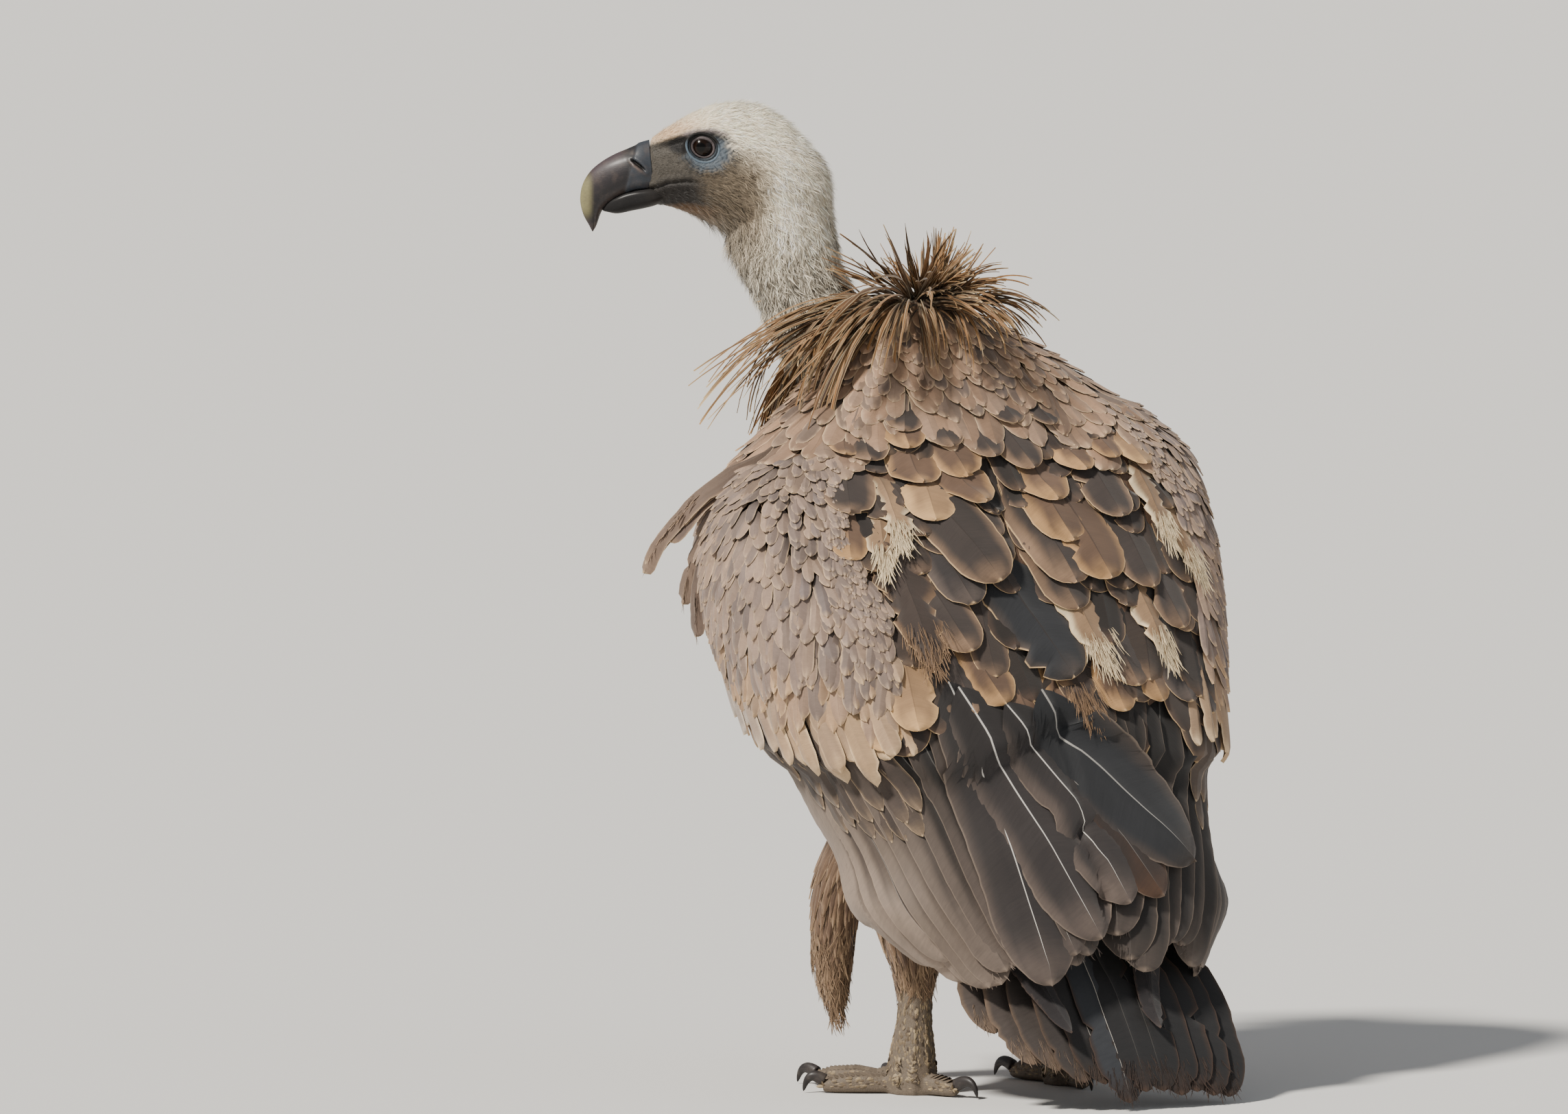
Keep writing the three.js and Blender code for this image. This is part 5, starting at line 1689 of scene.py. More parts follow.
@dataclass
class Legs:
    """The scaly feet, their plates and claws, and the long feathers of the thighs."""

    voxel: float = 1.5
    skin_tint: Array = field(default_factory=lambda: tint("6b5f52"))

    def foot_skin(self, side: Side) -> Object:
        """Makes a smooth copy of a packed foot, a little inside it.

        Args:
            side: Which foot.

        Returns:
            The copy.
        """
        made = in_scene(f"{side.word}_foot_skin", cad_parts[f"{side.word}_foot"].data.copy())
        remesh = made.modifiers.new("Even", "REMESH")
        remesh.mode = "VOXEL"
        remesh.voxel_size = self.voxel * MM
        made.modifiers.new("Soften", "SMOOTH").iterations = 6
        return made

    def claws(self) -> None:
        """Makes the eight claws."""
        finish = HornFinish("Claw horn", "232021", "6b6259", 0.38).make()
        t = np.linspace(0, 1, 22)
        height = mix(9.5, 1.4, t**2) + 4.2 * np.sin(np.pi * np.minimum(1, t * 1.15))
        half = mix(4.9, 0.4, t**1.5)
        hue = ramp("3a3433", "171516", np.concatenate([np.repeat(t, 20), [0, 1]])[:, None])
        for side in Side:
            for toe in TOES:
                ahead, across = toe.axes(side.value)
                start = ankle(side) + ahead * (toe.length - 4)
                reach = toe.claw * 0.92 * np.sin(mix(0.2, 1.9, t) * 0.8) * 0.9
                path = start + reach[:, None] * ahead + height[:, None] * UP
                points, faces = closed_loft(tube(path, across, half * 0.86, half, 20))
                claw = Surface()
                claw.add(points, faces, mid=hue)
                word = f"{side.word}_{toe.name}"
                add_piece(claw.build(f"{word}_talon"), finish, [f"{word}_claw"])

    def plates(self, tree: SprigTree, rng: Random) -> None:
        """Lays the overlapping plates along the toes and down the front of the shanks.

        Args:
            tree: What grows them.
            rng: The source of their unevenness.
        """
        sown = Sown()
        for side in Side:
            for toe in TOES:
                ahead, across = toe.axes(side.value)
                run = np.arange(10, toe.length - 3, 3.9)
                share = run / toe.length
                pad = np.interp(share, [0, 0.3, 0.52, 0.78, 1], [1.15, 0.92, 1.05, 0.95, 0.62])
                half = toe.half * pad * mix(1, 0.86, share)
                top = half * np.interp(share, [0, 0.99, 1], [0.88, 0.88, 1.05]) + half
                top = top + np.interp(share, [0, 0.3], [4, 0])
                for off, wide in ((0.0, 1.25), (-0.82, 0.62), (0.82, 0.62)):
                    rise = top * math.cos(off) - half * (1 - math.cos(off)) * 0.3
                    at = ankle(side) + run[:, None] * ahead + rise[:, None] * UP
                    at = at + (half * 0.92 * math.sin(off))[:, None] * across
                    out = UP * math.cos(off) + across * math.sin(off)
                    size = stack(half * wide, 5.6, 1.3)
                    place = stack(0.6 + 0.3 * share, 0.3 + 0.1 * side.value)
                    self._lay_plates(sown, at - out * 0.9, ahead, out, size, place, rng)
            heights = np.arange(26, 104, 4.6)
            y, half, deep = SHANK(heights).T
            for turn in np.radians([-62, -21, 21, 62]):
                out = np.array([math.sin(turn), -math.cos(turn), 0])
                at = stack(side.value * LEG_SPREAD + half * out[0], y + deep * out[1], heights) - out * 0.7
                place = stack(0.6 + 0.003 * heights, 0.6 + 0.1 * side.value)
                self._lay_plates(sown, at, -UP, out, stack(half * 0.8, 6.2, 1.2), place, rng)
        sprig = Sprig(columns=5, rows=5, taper=5.0, foot=0.85, curl=0.1, cup=1.6, start=-0.2)
        finish = SkinFinish("Foot plates", 0.5, 0.3, 0.0, 0.4).make()
        add_piece(tree.grow("foot_plates", sown, sprig, finish, rng), None)
        self._granules(tree, rng)

    def _lay_plates(
        self, sown: Sown, at: Array, lie: Array, out: Array, size: Array, place: Array, rng: Random
    ) -> None:
        """Sows a row of plates in the skin's colour, each a little lighter or darker."""
        sown.add(at, lie, out, size, place, self.skin_tint * rng.uniform(0.8, 1.15, (len(at), 1)))

    def _granules(self, tree: SprigTree, rng: Random) -> None:
        """Sets small rounded grains over the shanks and the sides of the toes.

        Args:
            tree: What grows them.
            rng: The source of their unevenness.
        """
        sown, many = Sown(), 2600
        for side in Side:
            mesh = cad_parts[f"{side.word}_foot"].data
            mesh.calc_loop_triangles()
            corners = np.array([v.co for v in mesh.vertices]) / MM - ORIGIN
            a, b, c = (corners[[t.vertices[i] for t in mesh.loop_triangles]] for i in range(3))
            normal = np.cross(b - a, c - a)
            weight = np.linalg.norm(normal, axis=1)
            pick = rng.choice(len(a), many, p=weight / weight.sum())
            u, v = rng.random((2, many, 1))
            u, v = np.where(u + v > 1, 1 - u, u), np.where(u + v > 1, 1 - v, v)
            at = a[pick] + (b - a)[pick] * u + (c - a)[pick] * v
            out = unit(normal[pick])
            kept = (at[:, 2] > 5) & (at[:, 2] < 104) & (out[:, 2] < 0.75)
            at, out = at[kept], out[kept]
            away = unit(at * np.array([1, 1, 0]) - ankle(side))
            lie = unit(mix(-UP, away, smooth(40, 22, at[:, 2])[:, None]))
            lie = unit(lie - (lie * out).sum(1, keepdims=True) * out)
            count = len(at)
            reaches = ((2.2, 4.2), (3.0, 5.4), (1.2, 3.0))
            size = stack(*(rng.uniform(low, high, count) for low, high in reaches))
            hue = palette(rng, count, "453a30", "7d6c55", "9c8a6c", spread=0.12)
            place = stack(rng.uniform(0.6, 0.9, count), rng.uniform(0.2, 0.8, count))
            sown.add(at - out * 0.1, lie, out, size, place, hue)
        sprig = Sprig(columns=4, rows=4, taper=4.0, foot=0.7, curl=1.0, cup=0.8)
        finish = SkinFinish("Foot granules", 0.6, 0.3, 0.0, 0.3).make()
        add_piece(tree.grow("foot_granules", sown, sprig, finish, rng), None)

    def feathers(self, rng: Random) -> None:
        """Lays the rusty feathers of the thighs and the clumps that hang in front of them.

        Args:
            rng: The source of their unevenness.
        """
        finish = VaneFinish("Thigh feathers", 0.5, 0.4, 0.6, shaft="c9a882", shaft_strength=0.3, margin=0.3)
        thigh = finish.make()
        for side in Side:
            plumage = Plumage()
            for line, low, high, pitch, hang in ((THIGH, 98, 238, 7.5, 46), (TROUSER, 108, 200, 6.5, 48)):
                for k, height in enumerate(np.arange(low, high, pitch)):
                    self._ring(plumage, line, side.value, height, k % 2, hang, height < low + 40, rng)
            add_piece(plumage.build(f"{side.word}_thigh_feathers"), thigh)

    def _ring(
        self, plumage: Plumage, line: Profile, side: int, height: float, odd: int, hang: float, loose: bool,
        rng: Random,
    ) -> None:
        """Lays one ring of feathers round a limb.

        Args:
            plumage: The piece that they go into.
            line: The limb's form.
            side: 1 for the left, -1 for the right.
            height: The roots' height.
            odd: Whether the ring is staggered.
            hang: The feathers' length.
            loose: Whether barbs stand at their tips.
            rng: The source of their unevenness.
        """
        cut = Cut(rows=7, halves=(0.5, 1.0), tip=4.5, point=1.4, ragged=0.16, splits=0.25, cup=0.2, ridge=0.2)
        _, _, wide, deep = line(height)
        count = max(int(2 * np.pi * (wide + deep) / 2 / 7.0), 6)
        turn = 2 * np.pi * (np.arange(count) + 0.5 * odd + rng.normal(0, 0.12, count)) / count
        length = hang * rng.uniform(0.75, 1.25, count)
        z = (height + rng.normal(0, 2.5, count))[:, None] - np.linspace(0, 1, 7) * length[:, None]
        x, y, a, b = np.moveaxis(line(z), -1, 0)
        shrink = np.clip(1 - np.maximum(line.keys[0] - z, 0) / 60, 0.3, 1)
        across, back = np.cos(turn)[:, None], np.sin(turn)[:, None]
        points = stack(
            side * (x + (a - 1.5) * shrink * across), y + (b - 1.5) * shrink * back, np.maximum(z, 4.0)
        )
        shafts = Shafts.along(points, stack(side * across, back, 0))
        tone = rng.uniform(0, 1, (count, 1))
        place = stack(0.02 + 0.4 * (turn % 6.28) / 6.28, height / 300)
        coat = Coat(
            ramp("503d31", "755c47", tone), ramp("806650", "a3886b", tone), -3.0,
            rng.uniform(0.5, 3.5, count), rng.normal(0.1, 0.08, count), np.clip(place, 0.01, 0.99),
        )
        half = rng.uniform(3.0, 5.6, count)
        plumage.lay(shafts, length, half, cut, coat, rng)
        if loose:
            plumage.fray(shafts, half, coat, rng, 12, 0.7, (8, 18))


# ---- the skin
@dataclass
class Skin:
    """The one skin of trunk, neck, head, thighs and feet, under the coat."""

    form: Contour
    trunk_form: Contour
    head: HeadAndNeck
    legs: Legs
    depth: float = 9.0

    def build(self) -> None:
        """Makes the skin and gives it its finish."""
        made = self._body().build("body_skin")
        for side in Side:
            for name, line in (("thigh", THIGH), ("trouser", TROUSER)):
                self._join(made, self._limb(line, side.value).build(f"{side.word}_{name}"))
            self._join(made, self.legs.foot_skin(side))
        self._dress(made)
        head = Surface()
        self.head.surface(head)
        crown = head.build("head_skin")
        bpy.ops.object.select_all(action="DESELECT")
        crown.select_set(True)
        made.select_set(True)
        bpy.context.view_layer.objects.active = made
        bpy.ops.object.join()
        made.name = "skin"
        nodes = ["trunk", "neck", "head"] + [f"{s.word}_{w}" for s in Side for w in ("thigh", "foot")]
        add_piece(made, SkinFinish("Skin", 0.62, 0.4, 0.25, 0.5).make(), nodes)

    def _body(self) -> Surface:
        """The trunk inside the feathers' form, and inside the wings where they cover it."""
        heights = np.concatenate([[166.0], np.arange(170, 590, 5.0)])
        t, h = np.meshgrid(np.arange(-180, 180, 4.0), heights)
        wide, close = (form.radius(t, h) - self.depth for form in (self.form, self.trunk_form))
        radius = np.maximum(mix(close, wide, smooth(250, 300, h)), 12)
        radius *= np.where(h < 200, np.sqrt(np.clip((h - 158) / 42, 0.05, 1)), 1)
        a = np.radians(t)
        y = self.form.AXIS(h)[..., 0] + radius * np.cos(a)
        flat, faces = closed_loft(stack(radius * np.sin(a), y, h))
        made = Surface()
        made.add(flat, [f[:, ::-1] for f in faces])
        return made

    @staticmethod
    def _limb(line: Profile, side: int) -> Surface:
        """Shapes a leg's flesh inside its feathers.

        Args:
            line: The limb's form.
            side: 1 for the left, -1 for the right.

        Returns:
            The flesh.
        """
        z = np.linspace(line.keys[0] + 4, line.keys[-1] + 14, 24)
        x, y, wide, deep = line(z).T
        keep = np.maximum(1 - 5 / np.maximum(wide, 6), 0.25)
        rings = tube(stack(side * x, y, z), np.array([1.0, 0, 0]), wide * keep, deep * keep, 24)
        made = Surface()
        made.add(*closed_loft(rings))
        return made

    @staticmethod
    def _join(body: Object, part: Object) -> None:
        """Melts a part into the body.

        Args:
            body: What grows.
            part: What is taken in, and then removed.
        """
        cut = body.modifiers.new("Join", "BOOLEAN")
        cut.operation = "UNION"
        cut.solver = "MANIFOLD"
        cut.object = part
        mesh = as_shown(body)
        body.modifiers.clear()
        body.data = mesh
        bpy.data.objects.remove(part)

    def _dress(self, made: Object) -> None:
        """Gives the body its colours and its unwrap.

        Args:
            made: The body.
        """
        mesh = made.data
        co = np.zeros(len(mesh.vertices) * 3, np.float32)
        mesh.vertices.foreach_get("co", co)
        at = co.reshape(-1, 3) / MM - ORIGIN
        for key in [a.name for a in mesh.color_attributes]:
            mesh.color_attributes.remove(mesh.color_attributes[key])
        set_colour(mesh, "mid", mix(tint("5a4638"), self.legs.skin_tint, smooth(112, 96, at[:, 2:])))
        turn, height = self.form.place(at)
        place = stack(0.52 + 0.46 * np.mod(turn + 180, 360) / 360, np.clip(height / 620, 0.01, 0.99))
        corner = np.zeros(len(mesh.loops), np.int32)
        mesh.loops.foreach_get("vertex_index", corner)
        for layer in list(mesh.uv_layers):
            mesh.uv_layers.remove(layer)
        mesh.uv_layers.new(name="OFBake").uv.foreach_set("vector", place[corner].astype(np.float32).ravel())
        mesh.polygons.foreach_set("use_smooth", np.ones(len(mesh.polygons), bool))


# ---- the coat of the body
def palette(rng: Random, count: int, *codes: str, spread: float = 0.08) -> Array:
    """Colours picked between neighbours of a list, each a little lighter or darker."""
    hues = np.array([tint(c) for c in codes])
    place = rng.random(count) * (len(codes) - 1)
    i = np.minimum(place.astype(int), len(codes) - 2)
    hue = mix(hues[i], hues[i + 1], (place - i)[:, None])
    return np.clip(hue * rng.normal(1, spread, (count, 1)), 0.005, 0.95)


class Look(Enum):
    """Kinds of large feather: the colours of middle and edge, how far the shaft shows, and worn or not."""

    TAN = ("5f4a3b", "b48c5e", 0.45, False)
    BUFF = ("957656", "cda472", 0.3, False)
    GREY = ("3c3430", "846a54", 0.5, False)
    SLATE = ("26272a", "4d423b", 0.5, False)
    DARK = ("302b2a", "5c5049", 1.0, False)
    RUSTY = ("2d2420", "503828", 0.2, False)
    CREAM = ("94775a", "ecd6ae", 0.35, True)
    WORN = ("3f342e", "80644a", 0.4, True)

    @property
    def worn(self) -> bool:
        """Whether its tip is frayed."""
        return self.value[3]


@dataclass(frozen=True)
class Plume:
    """One large feather, placed by the turn and height of its tip; sizes in mm and angles in degrees."""

    turn: float
    height: float
    length: float
    half: float
    lean: float
    look: Look
    lift: float = 4.0


def plumes(*rows: tuple) -> tuple[Plume, ...]:
    """Large feathers from rows of their fields."""
    return tuple(Plume(*row) for row in rows)


LEFT_SHOULDER = plumes(
    (31, 489, 44, 16, 4, Look.GREY), (52, 472, 44, 13, 10, Look.TAN), (30, 477, 54, 18, 0, Look.TAN),
    (44.5, 468, 56, 18, 8, Look.GREY), (12, 478, 52, 17, -6, Look.GREY), (27, 452, 70, 21, 0, Look.TAN),
    (9, 456, 66, 21, -6, Look.TAN), (50, 431, 84, 22.5, 6, Look.GREY), (26, 425, 84, 21.5, 0, Look.BUFF),
    (6.5, 437, 78, 22.5, -12, Look.TAN, 5), (37.5, 404, 92, 14, 2, Look.CREAM, 4),
    (43.5, 386, 96, 13, 3, Look.CREAM, 3), (51, 398, 84, 15, 8, Look.TAN, 3),
    (11, 380, 122, 27, -16, Look.GREY, 7), (21, 366, 104, 22, -10, Look.DARK, 2),
    (38, 317, 130, 26, -8, Look.WORN, 5), (26, 332, 104, 21, -16, Look.GREY, 3),
    (47, 276, 92, 20, -3, Look.BUFF, 4), (57, 262, 78, 15, 3, Look.BUFF, 2),
    (30, 288, 84, 19, -12, Look.GREY, 1), (20, 294, 84, 21, -16, Look.TAN, 2),
    (8.5, 254, 122, 25, -26, Look.TAN, 3), (19, 243, 110, 22, -22, Look.GREY, 1),
)
RIGHT_SHOULDER = plumes(
    (-22, 494, 46, 16, -8, Look.GREY), (-36, 492, 40, 13, -8, Look.GREY), (-5, 470, 60, 18, -8, Look.GREY),
    (-20, 461, 62, 19, -8, Look.GREY), (-34.5, 459, 62, 17, -6, Look.TAN), (-44, 467, 50, 13, -4, Look.TAN),
    (-50, 462, 58, 16, -2, Look.BUFF), (-21, 438, 70, 21, -8, Look.TAN), (-20, 408, 80, 26, -8, Look.TAN, 5),
    (-37, 425, 76, 21, -4, Look.GREY), (-48, 404, 84, 14, -2, Look.CREAM, 5),
    (-54, 374, 92, 14, -1, Look.CREAM, 5), (-28, 380, 98, 29, -6, Look.TAN, 6),
    (-16.5, 378, 100, 27, -8, Look.GREY, 5), (-40, 374, 92, 23, -4, Look.GREY, 3),
    (-15.5, 360, 92, 24, -8, Look.GREY, 2), (-7, 310, 118, 31, -16, Look.SLATE, 5),
    (-21, 314, 104, 22, -8, Look.CREAM, 4), (-47, 343, 96, 21, -3, Look.GREY, 3),
    (-42, 319, 92, 17, -3, Look.CREAM, 2), (-30, 304, 100, 20, -4, Look.GREY, 1),
    (-24, 286, 100, 17, -4, Look.TAN, 1), (-13, 276, 110, 21, -12, Look.WORN, 2),
    (-8, 268, 104, 19, -18, Look.TAN, 1), (-48, 290, 96, 19, 0, Look.DARK, 1),
    (-38, 292, 92, 18, 0, Look.TAN, 0), (-56, 280, 92, 19, 2, Look.DARK, 1),
)
TERTIALS = plumes(
    (36, 93, 240, 33, -14, Look.DARK, 8), (3, 122, 215, 33, -22, Look.DARK, 9.5),
    (19, 112, 190, 24, -18, Look.DARK, 6), (-16, 146, 178, 27, -19, Look.DARK, 11),
    (-33, 150, 165, 24, -27, Look.RUSTY, 10), (-46, 173, 175, 38, -35, Look.SLATE, 13),
    (-33, 143, 60, 13, -12, Look.RUSTY, 2), (-30, 108, 60, 13, -14, Look.RUSTY, 1),
)
BROAD = Cut(
    rows=16, halves=(0.06, 0.4, 0.75, 1.0), tip=1.15, point=2.1, cup=0.12, ridge=0.5, splits=0.03,
    ragged=0.02, hug=1.35,
)
TATTERED = Cut(
    rows=22, halves=(0.06, 0.4, 0.75, 1.0), tip=2.3, point=1.45, cup=0.1, ridge=0.4, splits=0.3,
    ragged=0.09, ripple=0.3, hug=1.2,
)
LONG = Cut(
    rows=34, halves=(0.03, 0.25, 0.5, 0.75, 1.0), stem=0.7, tip=1.5, point=1.8, cup=0.1, ridge=0.6,
    splits=0.0, ragged=0.015, gather=1.2, ripple=0.12,
)


def level(height: float) -> Callable[[Array], Array]:
    """A level edge of a tract."""
    return lambda turn: turn * 0 + height


@dataclass
class BodyCoat:
    """The feathers of back, breast, wings and rump, laid over the body's form."""

    form: Contour
    rng: Random
    wing: Contour = field(init=False)

    def __post_init__(self) -> None:
        """Carries the form on for the folded wings."""
        self.wing = self.form.carried(90.0, 262.0, 26.0)

    @staticmethod
    def _shade(turn: Array, height: Array) -> Array:
        """Slow clouds of lighter and darker tone over the body, round a value of one, times painted shade in
        the groove down the back.
        """
        wave = np.sin(turn * 0.13 + 1.7 * np.sin(height * 0.031)) * np.sin(height * 0.052 + turn * 0.04)
        middle = np.interp(height, [382, 453, 508], [4.5, -5.5, 25.5])
        # painted shade: the feathers darken in the groove down the back
        groove = bump(turn - middle, 6.0) * smooth(350, 390, height) * smooth(524, 500, height)
        return ((1 + 0.14 * wave) * (1 - 0.6 * groove))[:, None]

    def _sow(
        self, plumage: Plumage, tract: Tract, cut: Cut, mids: Sequence[str], rims: Sequence[str],
        lift: tuple[float, float], steps: int = 6, rise: tuple[float, float] = (0.0, 0.0), loose: float = 0.4,
    ) -> None:
        """Lays one tract.

        Args:
            plumage: The piece that it goes into.
            tract: Where the feathers grow and their sizes.
            cut: Their shape.
            mids: Colours of the middle of the vane.
            rims: Colours near its edge.
            lift: Height of root and tip over the form.
            steps: Steps along each shaft.
            rise: Added to both for the top row and the bottom row.
            loose: Unevenness of the tips' height.
        """
        turn, height, share = tract.roots(self.form, self.rng)
        count = len(turn)
        grown = share**tract.growth
        length = mix(*tract.length, grown) * self.rng.normal(1, 0.13, count)
        half = mix(*tract.half, grown) * self.rng.normal(1, 0.1, count)
        lean = tract.lean(turn, share) + self.rng.normal(0, 8, count)
        shafts = Shafts.over(self.form, turn, height, lean, length, self.rng.normal(0, 8, count), steps)
        more = mix(*rise, share)
        # hue holds the body's cloudy tone and the painted shade of the back's groove
        hue = self._shade(turn, height)
        coat = Coat(
            palette(self.rng, count, *mids, spread=0.12) * hue, palette(self.rng, count, *rims) * hue,
            lift[0] + more, lift[1] + more + np.abs(self.rng.normal(0, loose, count)),
            self.rng.normal(0.05, 0.05, count), body_place(turn, height), self.rng.uniform(0.2, 1, count),
        )
        plumage.lay(shafts, length, half, cut, coat, self.rng, self.form)

    def _set(
        self, plumage: Plumage, form: Contour, chosen: Sequence[Plume], smooth_cut: Cut, steps: int = 14
    ) -> None:
        """Lays feathers placed one by one, the worn ones with loose barbs at the tip.

        Args:
            plumage: The piece that they go into.
            form: The form that they lie on.
            chosen: The feathers.
            smooth_cut: The shape of those that aren't worn.
            steps: Steps along each shaft.
        """
        for worn, cut in ((False, smooth_cut), (True, TATTERED)):
            batch, rng = [p for p in chosen if p.look.worn is worn], self.rng
            if not batch:
                continue
            words = ("turn", "height", "length", "half", "lean", "lift")
            turn, height, length, half, lean, lift = (np.array([getattr(p, w) for p in batch]) for w in words)
            count = len(batch)
            lean = lean + 180 + rng.normal(0, 1.5, count)
            shafts = Shafts.over(form, turn, height, lean, length, rng.normal(0, 6, count), steps).reversed()
            mid, rim = (np.array([tint(p.look.value[i]) for p in batch]) for i in (0, 1))
            mid, rim = mid * rng.normal(1, 0.07, (count, 1)), rim * rng.normal(1, 0.06, (count, 1))
            place = body_place(*form.place(shafts.points[:, 0]))
            quill = np.array([p.look.value[2] for p in batch])
            coat = Coat(
                mid, rim, lift - 10.5, lift, rng.normal(0.03, 0.03, count), place, quill,
                rng.uniform(-0.1, 0.3, count),
            )
            plumage.lay(shafts, length, half, cut, coat, rng, form)
            if worn:
                plumage.fray(shafts, half, coat, rng, 110, 0.68, (7, 18), 0.26)

    def _drawn(
        self, plumage: Plumage, form: Contour, roots: Array, tips: Array, half: Array, cut: Cut,
        hues: tuple[Array, Array], lift: tuple[Array | float, Array | float], quill: float, lop: float = 0.0,
        stand: Array | float = 0.0, roll: float = 0.04,
    ) -> Shafts:
        """Lays feathers drawn from root to tip over a form.

        Args:
            plumage: The piece that they go into.
            form: The form that they lie on.
            roots: The turn and height of each root.
            tips: The turn and height of each tip.
            half: Each one's half width.
            cut: Their shape.
            hues: The colours of middle and edge.
            lift: Height of root and tip over the form.
            quill: How far the shafts show.
            lop: How far the edge's colour takes more of the right vane.
            stand: How far each tip stands out from the form.
            roll: How far they turn on their shafts.

        Returns:
            Their lines.
        """
        shafts = Shafts.between(form, roots, tips, stand)
        count = len(roots)
        coat = Coat(
            *hues, *lift, self.rng.normal(roll, 0.03, count), body_place(*roots.T),
            quill * self.rng.uniform(0.3, 1.0, count), lop,
        )
        bent_to = form if np.all(stand == 0.0) else None
        plumage.lay(shafts, shafts.lengths(), half, cut, coat, self.rng, bent_to)
        return shafts

    def mantle(self) -> None:
        """The small feathers from the ruff down to the scapulars and wings."""
        left, right = self.form.extent("left_coverts"), self.form.extent("right_coverts")

        def bottom(turn: Array) -> Array:
            """The height of the coverts' upper edge, and between the wings the scapulars'."""
            sides = np.where(turn > 0, left(turn)[1], right(turn)[1]) - 4
            return mix(510.0, sides, smooth(46, 62, np.abs(turn)))

        plumage = Plumage()
        tract = Tract(
            (-122, 116), lambda turn: np.interp(np.abs(turn), [0, 60, 120], [590, 584, 562]), bottom,
            (5.0, 12.5), (7.0, 17.0), (27, 52), (4.8, 12.5), growth=1.7, jitter=0.2,
        )
        cut = Cut(rows=8, halves=(0.14, 0.6, 1.0), tip=1.5, point=1.8, ragged=0.03, splits=0.04)
        mids, rims = ("78604e", "9d7d63", "87705e", "61534b"), ("b49174", "a58b74", "c6a685")
        self._sow(plumage, tract, cut, mids, rims, (-4.0, 0.5), loose=0.5)
        finish = VaneFinish(
            "Mantle feathers", 0.5, 0.6, 0.42, 0.85, shaft="4a382c", shaft_strength=0.4, margin=0.8,
        )
        add_piece(plumage.build("mantle_feathers"), finish.make())

    def breast(self) -> None:
        """The feathers of breast, flanks and belly."""
        plumage = Plumage()
        tract = Tract(
            (108, 256), lambda turn: np.interp(np.abs(turn - 185), [0, 80], [566, 575]), level(178.0),
            (9.0, 12.0), (10.0, 15.0), (32, 50), (6.5, 9.5), jitter=0.2,
        )
        cut = Cut(rows=7, halves=(0.5, 1.0), tip=2.6, point=1.5, ragged=0.1, splits=0.14)
        mids, rims = ("7a5a42", "96704e", "85664c"), ("bd9870", "d0b088", "b08a64")
        self._sow(plumage, tract, cut, mids, rims, (-6.0, 2.0), loose=1.0)
        finish = VaneFinish(
            "Breast feathers", 0.45, 0.4, 0.5, shaft="dcc6a4", shaft_strength=0.5, shaft_width=0.1,
            margin=0.3,
        )
        add_piece(plumage.build("breast_feathers"), finish.make())

    def coverts(self, side: Side) -> None:
        """Lays a wing's coverts, from the fine lesser ones down to the long greater ones that hang apart.

        Args:
            side: Which wing.
        """
        extent = self.form.extent(f"{side.word}_coverts")
        s, rng = side.value, self.rng
        turns = (46 * s, 118 * s) if s > 0 else (-54, -121)
        plumage = Plumage()
        self._under_coverts(plumage, s)

        def lean(turn: Array, share: Array) -> Array:
            """How far the feathers lean: forward at the front of the wing, back at its hind edge."""
            return s * (mix(22, -2, share) * smooth(62, 100, np.abs(turn)) - 4 * smooth(80, 50, np.abs(turn)))

        tract = Tract(
            turns, lambda turn: extent(turn)[1] + 3, lambda turn: extent(turn)[0] + 96,
            (5.0, 10.0), (6.6, 11.0), (24, 50), (4.2, 7.0), lean, growth=1.2, jitter=0.24,
        )
        cut = Cut(rows=8, halves=(0.14, 0.6, 1.0), tip=1.7, point=1.7, cup=0.22, ragged=0.04, splits=0.05)
        mids, rims = ("71625a", "89756a", "99806c", "716460"), ("a8927f", "c0a283", "af9884")
        self._sow(plumage, tract, cut, mids, rims, (-4.0, 0.5), rise=(0.4, 0.8), loose=0.6)
        tract = Tract(
            turns, lambda turn: extent(turn)[0] + 104, lambda turn: extent(turn)[0] + 74,
            (11.0, 14.0), (11.0, 12.5), (46, 58), (7.0, 8.8), lean, jitter=0.2,
        )
        cut = Cut(rows=10, halves=(0.12, 0.55, 1.0), tip=2.0, point=1.6, cup=0.24, ragged=0.05)
        mids, rims = ("856e5e", "ab8a6a", "927c68"), ("c8a680", "d8b88f")
        self._sow(plumage, tract, cut, mids, rims, (-6.0, 0.6), 8, loose=1.3)
        count = 17
        place = np.linspace(0, 1, count)
        turn = mix(113, 50, place) + rng.normal(0, 0.8, count)
        low = np.interp(turn, [50, 59, 69, 80, 88, 95, 104, 113], [262, 257, 245, 244, 256, 262, 276, 292])
        tips = stack(s * turn, low + rng.normal(0, 4, count))
        roots = tips + stack(-s * mix(5, 1, place), rng.uniform(74, 86, count))
        pale = smooth(86, 100, turn)[:, None] * 0.85
        cut = Cut(
            rows=16, halves=(0.08, 0.4, 0.75, 1.0), tip=1.25, point=1.9, cup=0.34, ridge=0.5, splits=0.03,
        )
        half = rng.uniform(7.6, 9.4, count)
        hues = (
            mix(palette(rng, count, "8a725e", "b0916f", "9a8067"), tint("9b8f86"), pale),
            mix(palette(rng, count, "d2b088", "e4c9a2"), tint("cfc4ba"), pale),
        )
        lift = (-7.5, 1.0 + 4.5 * (np.arange(count) % 2) + rng.normal(0, 0.5, count))
        self._drawn(plumage, self.form.carried(112.0, 600.0, 0.0), roots, tips, half, cut, hues, lift, 0.5)
        if side is Side.LEFT:
            self._loose(plumage, cut)
        finish = VaneFinish(
            "Coverts", 0.5, 0.5, 0.4, 0.85, shaft="54412f", shaft_strength=0.4, margin=0.45,
            margin_tint="dcc199",
        )
        made = plumage.build(f"{side.word}_covert_feathers")
        add_piece(made, finish.make(), [f"{side.word}_coverts"])

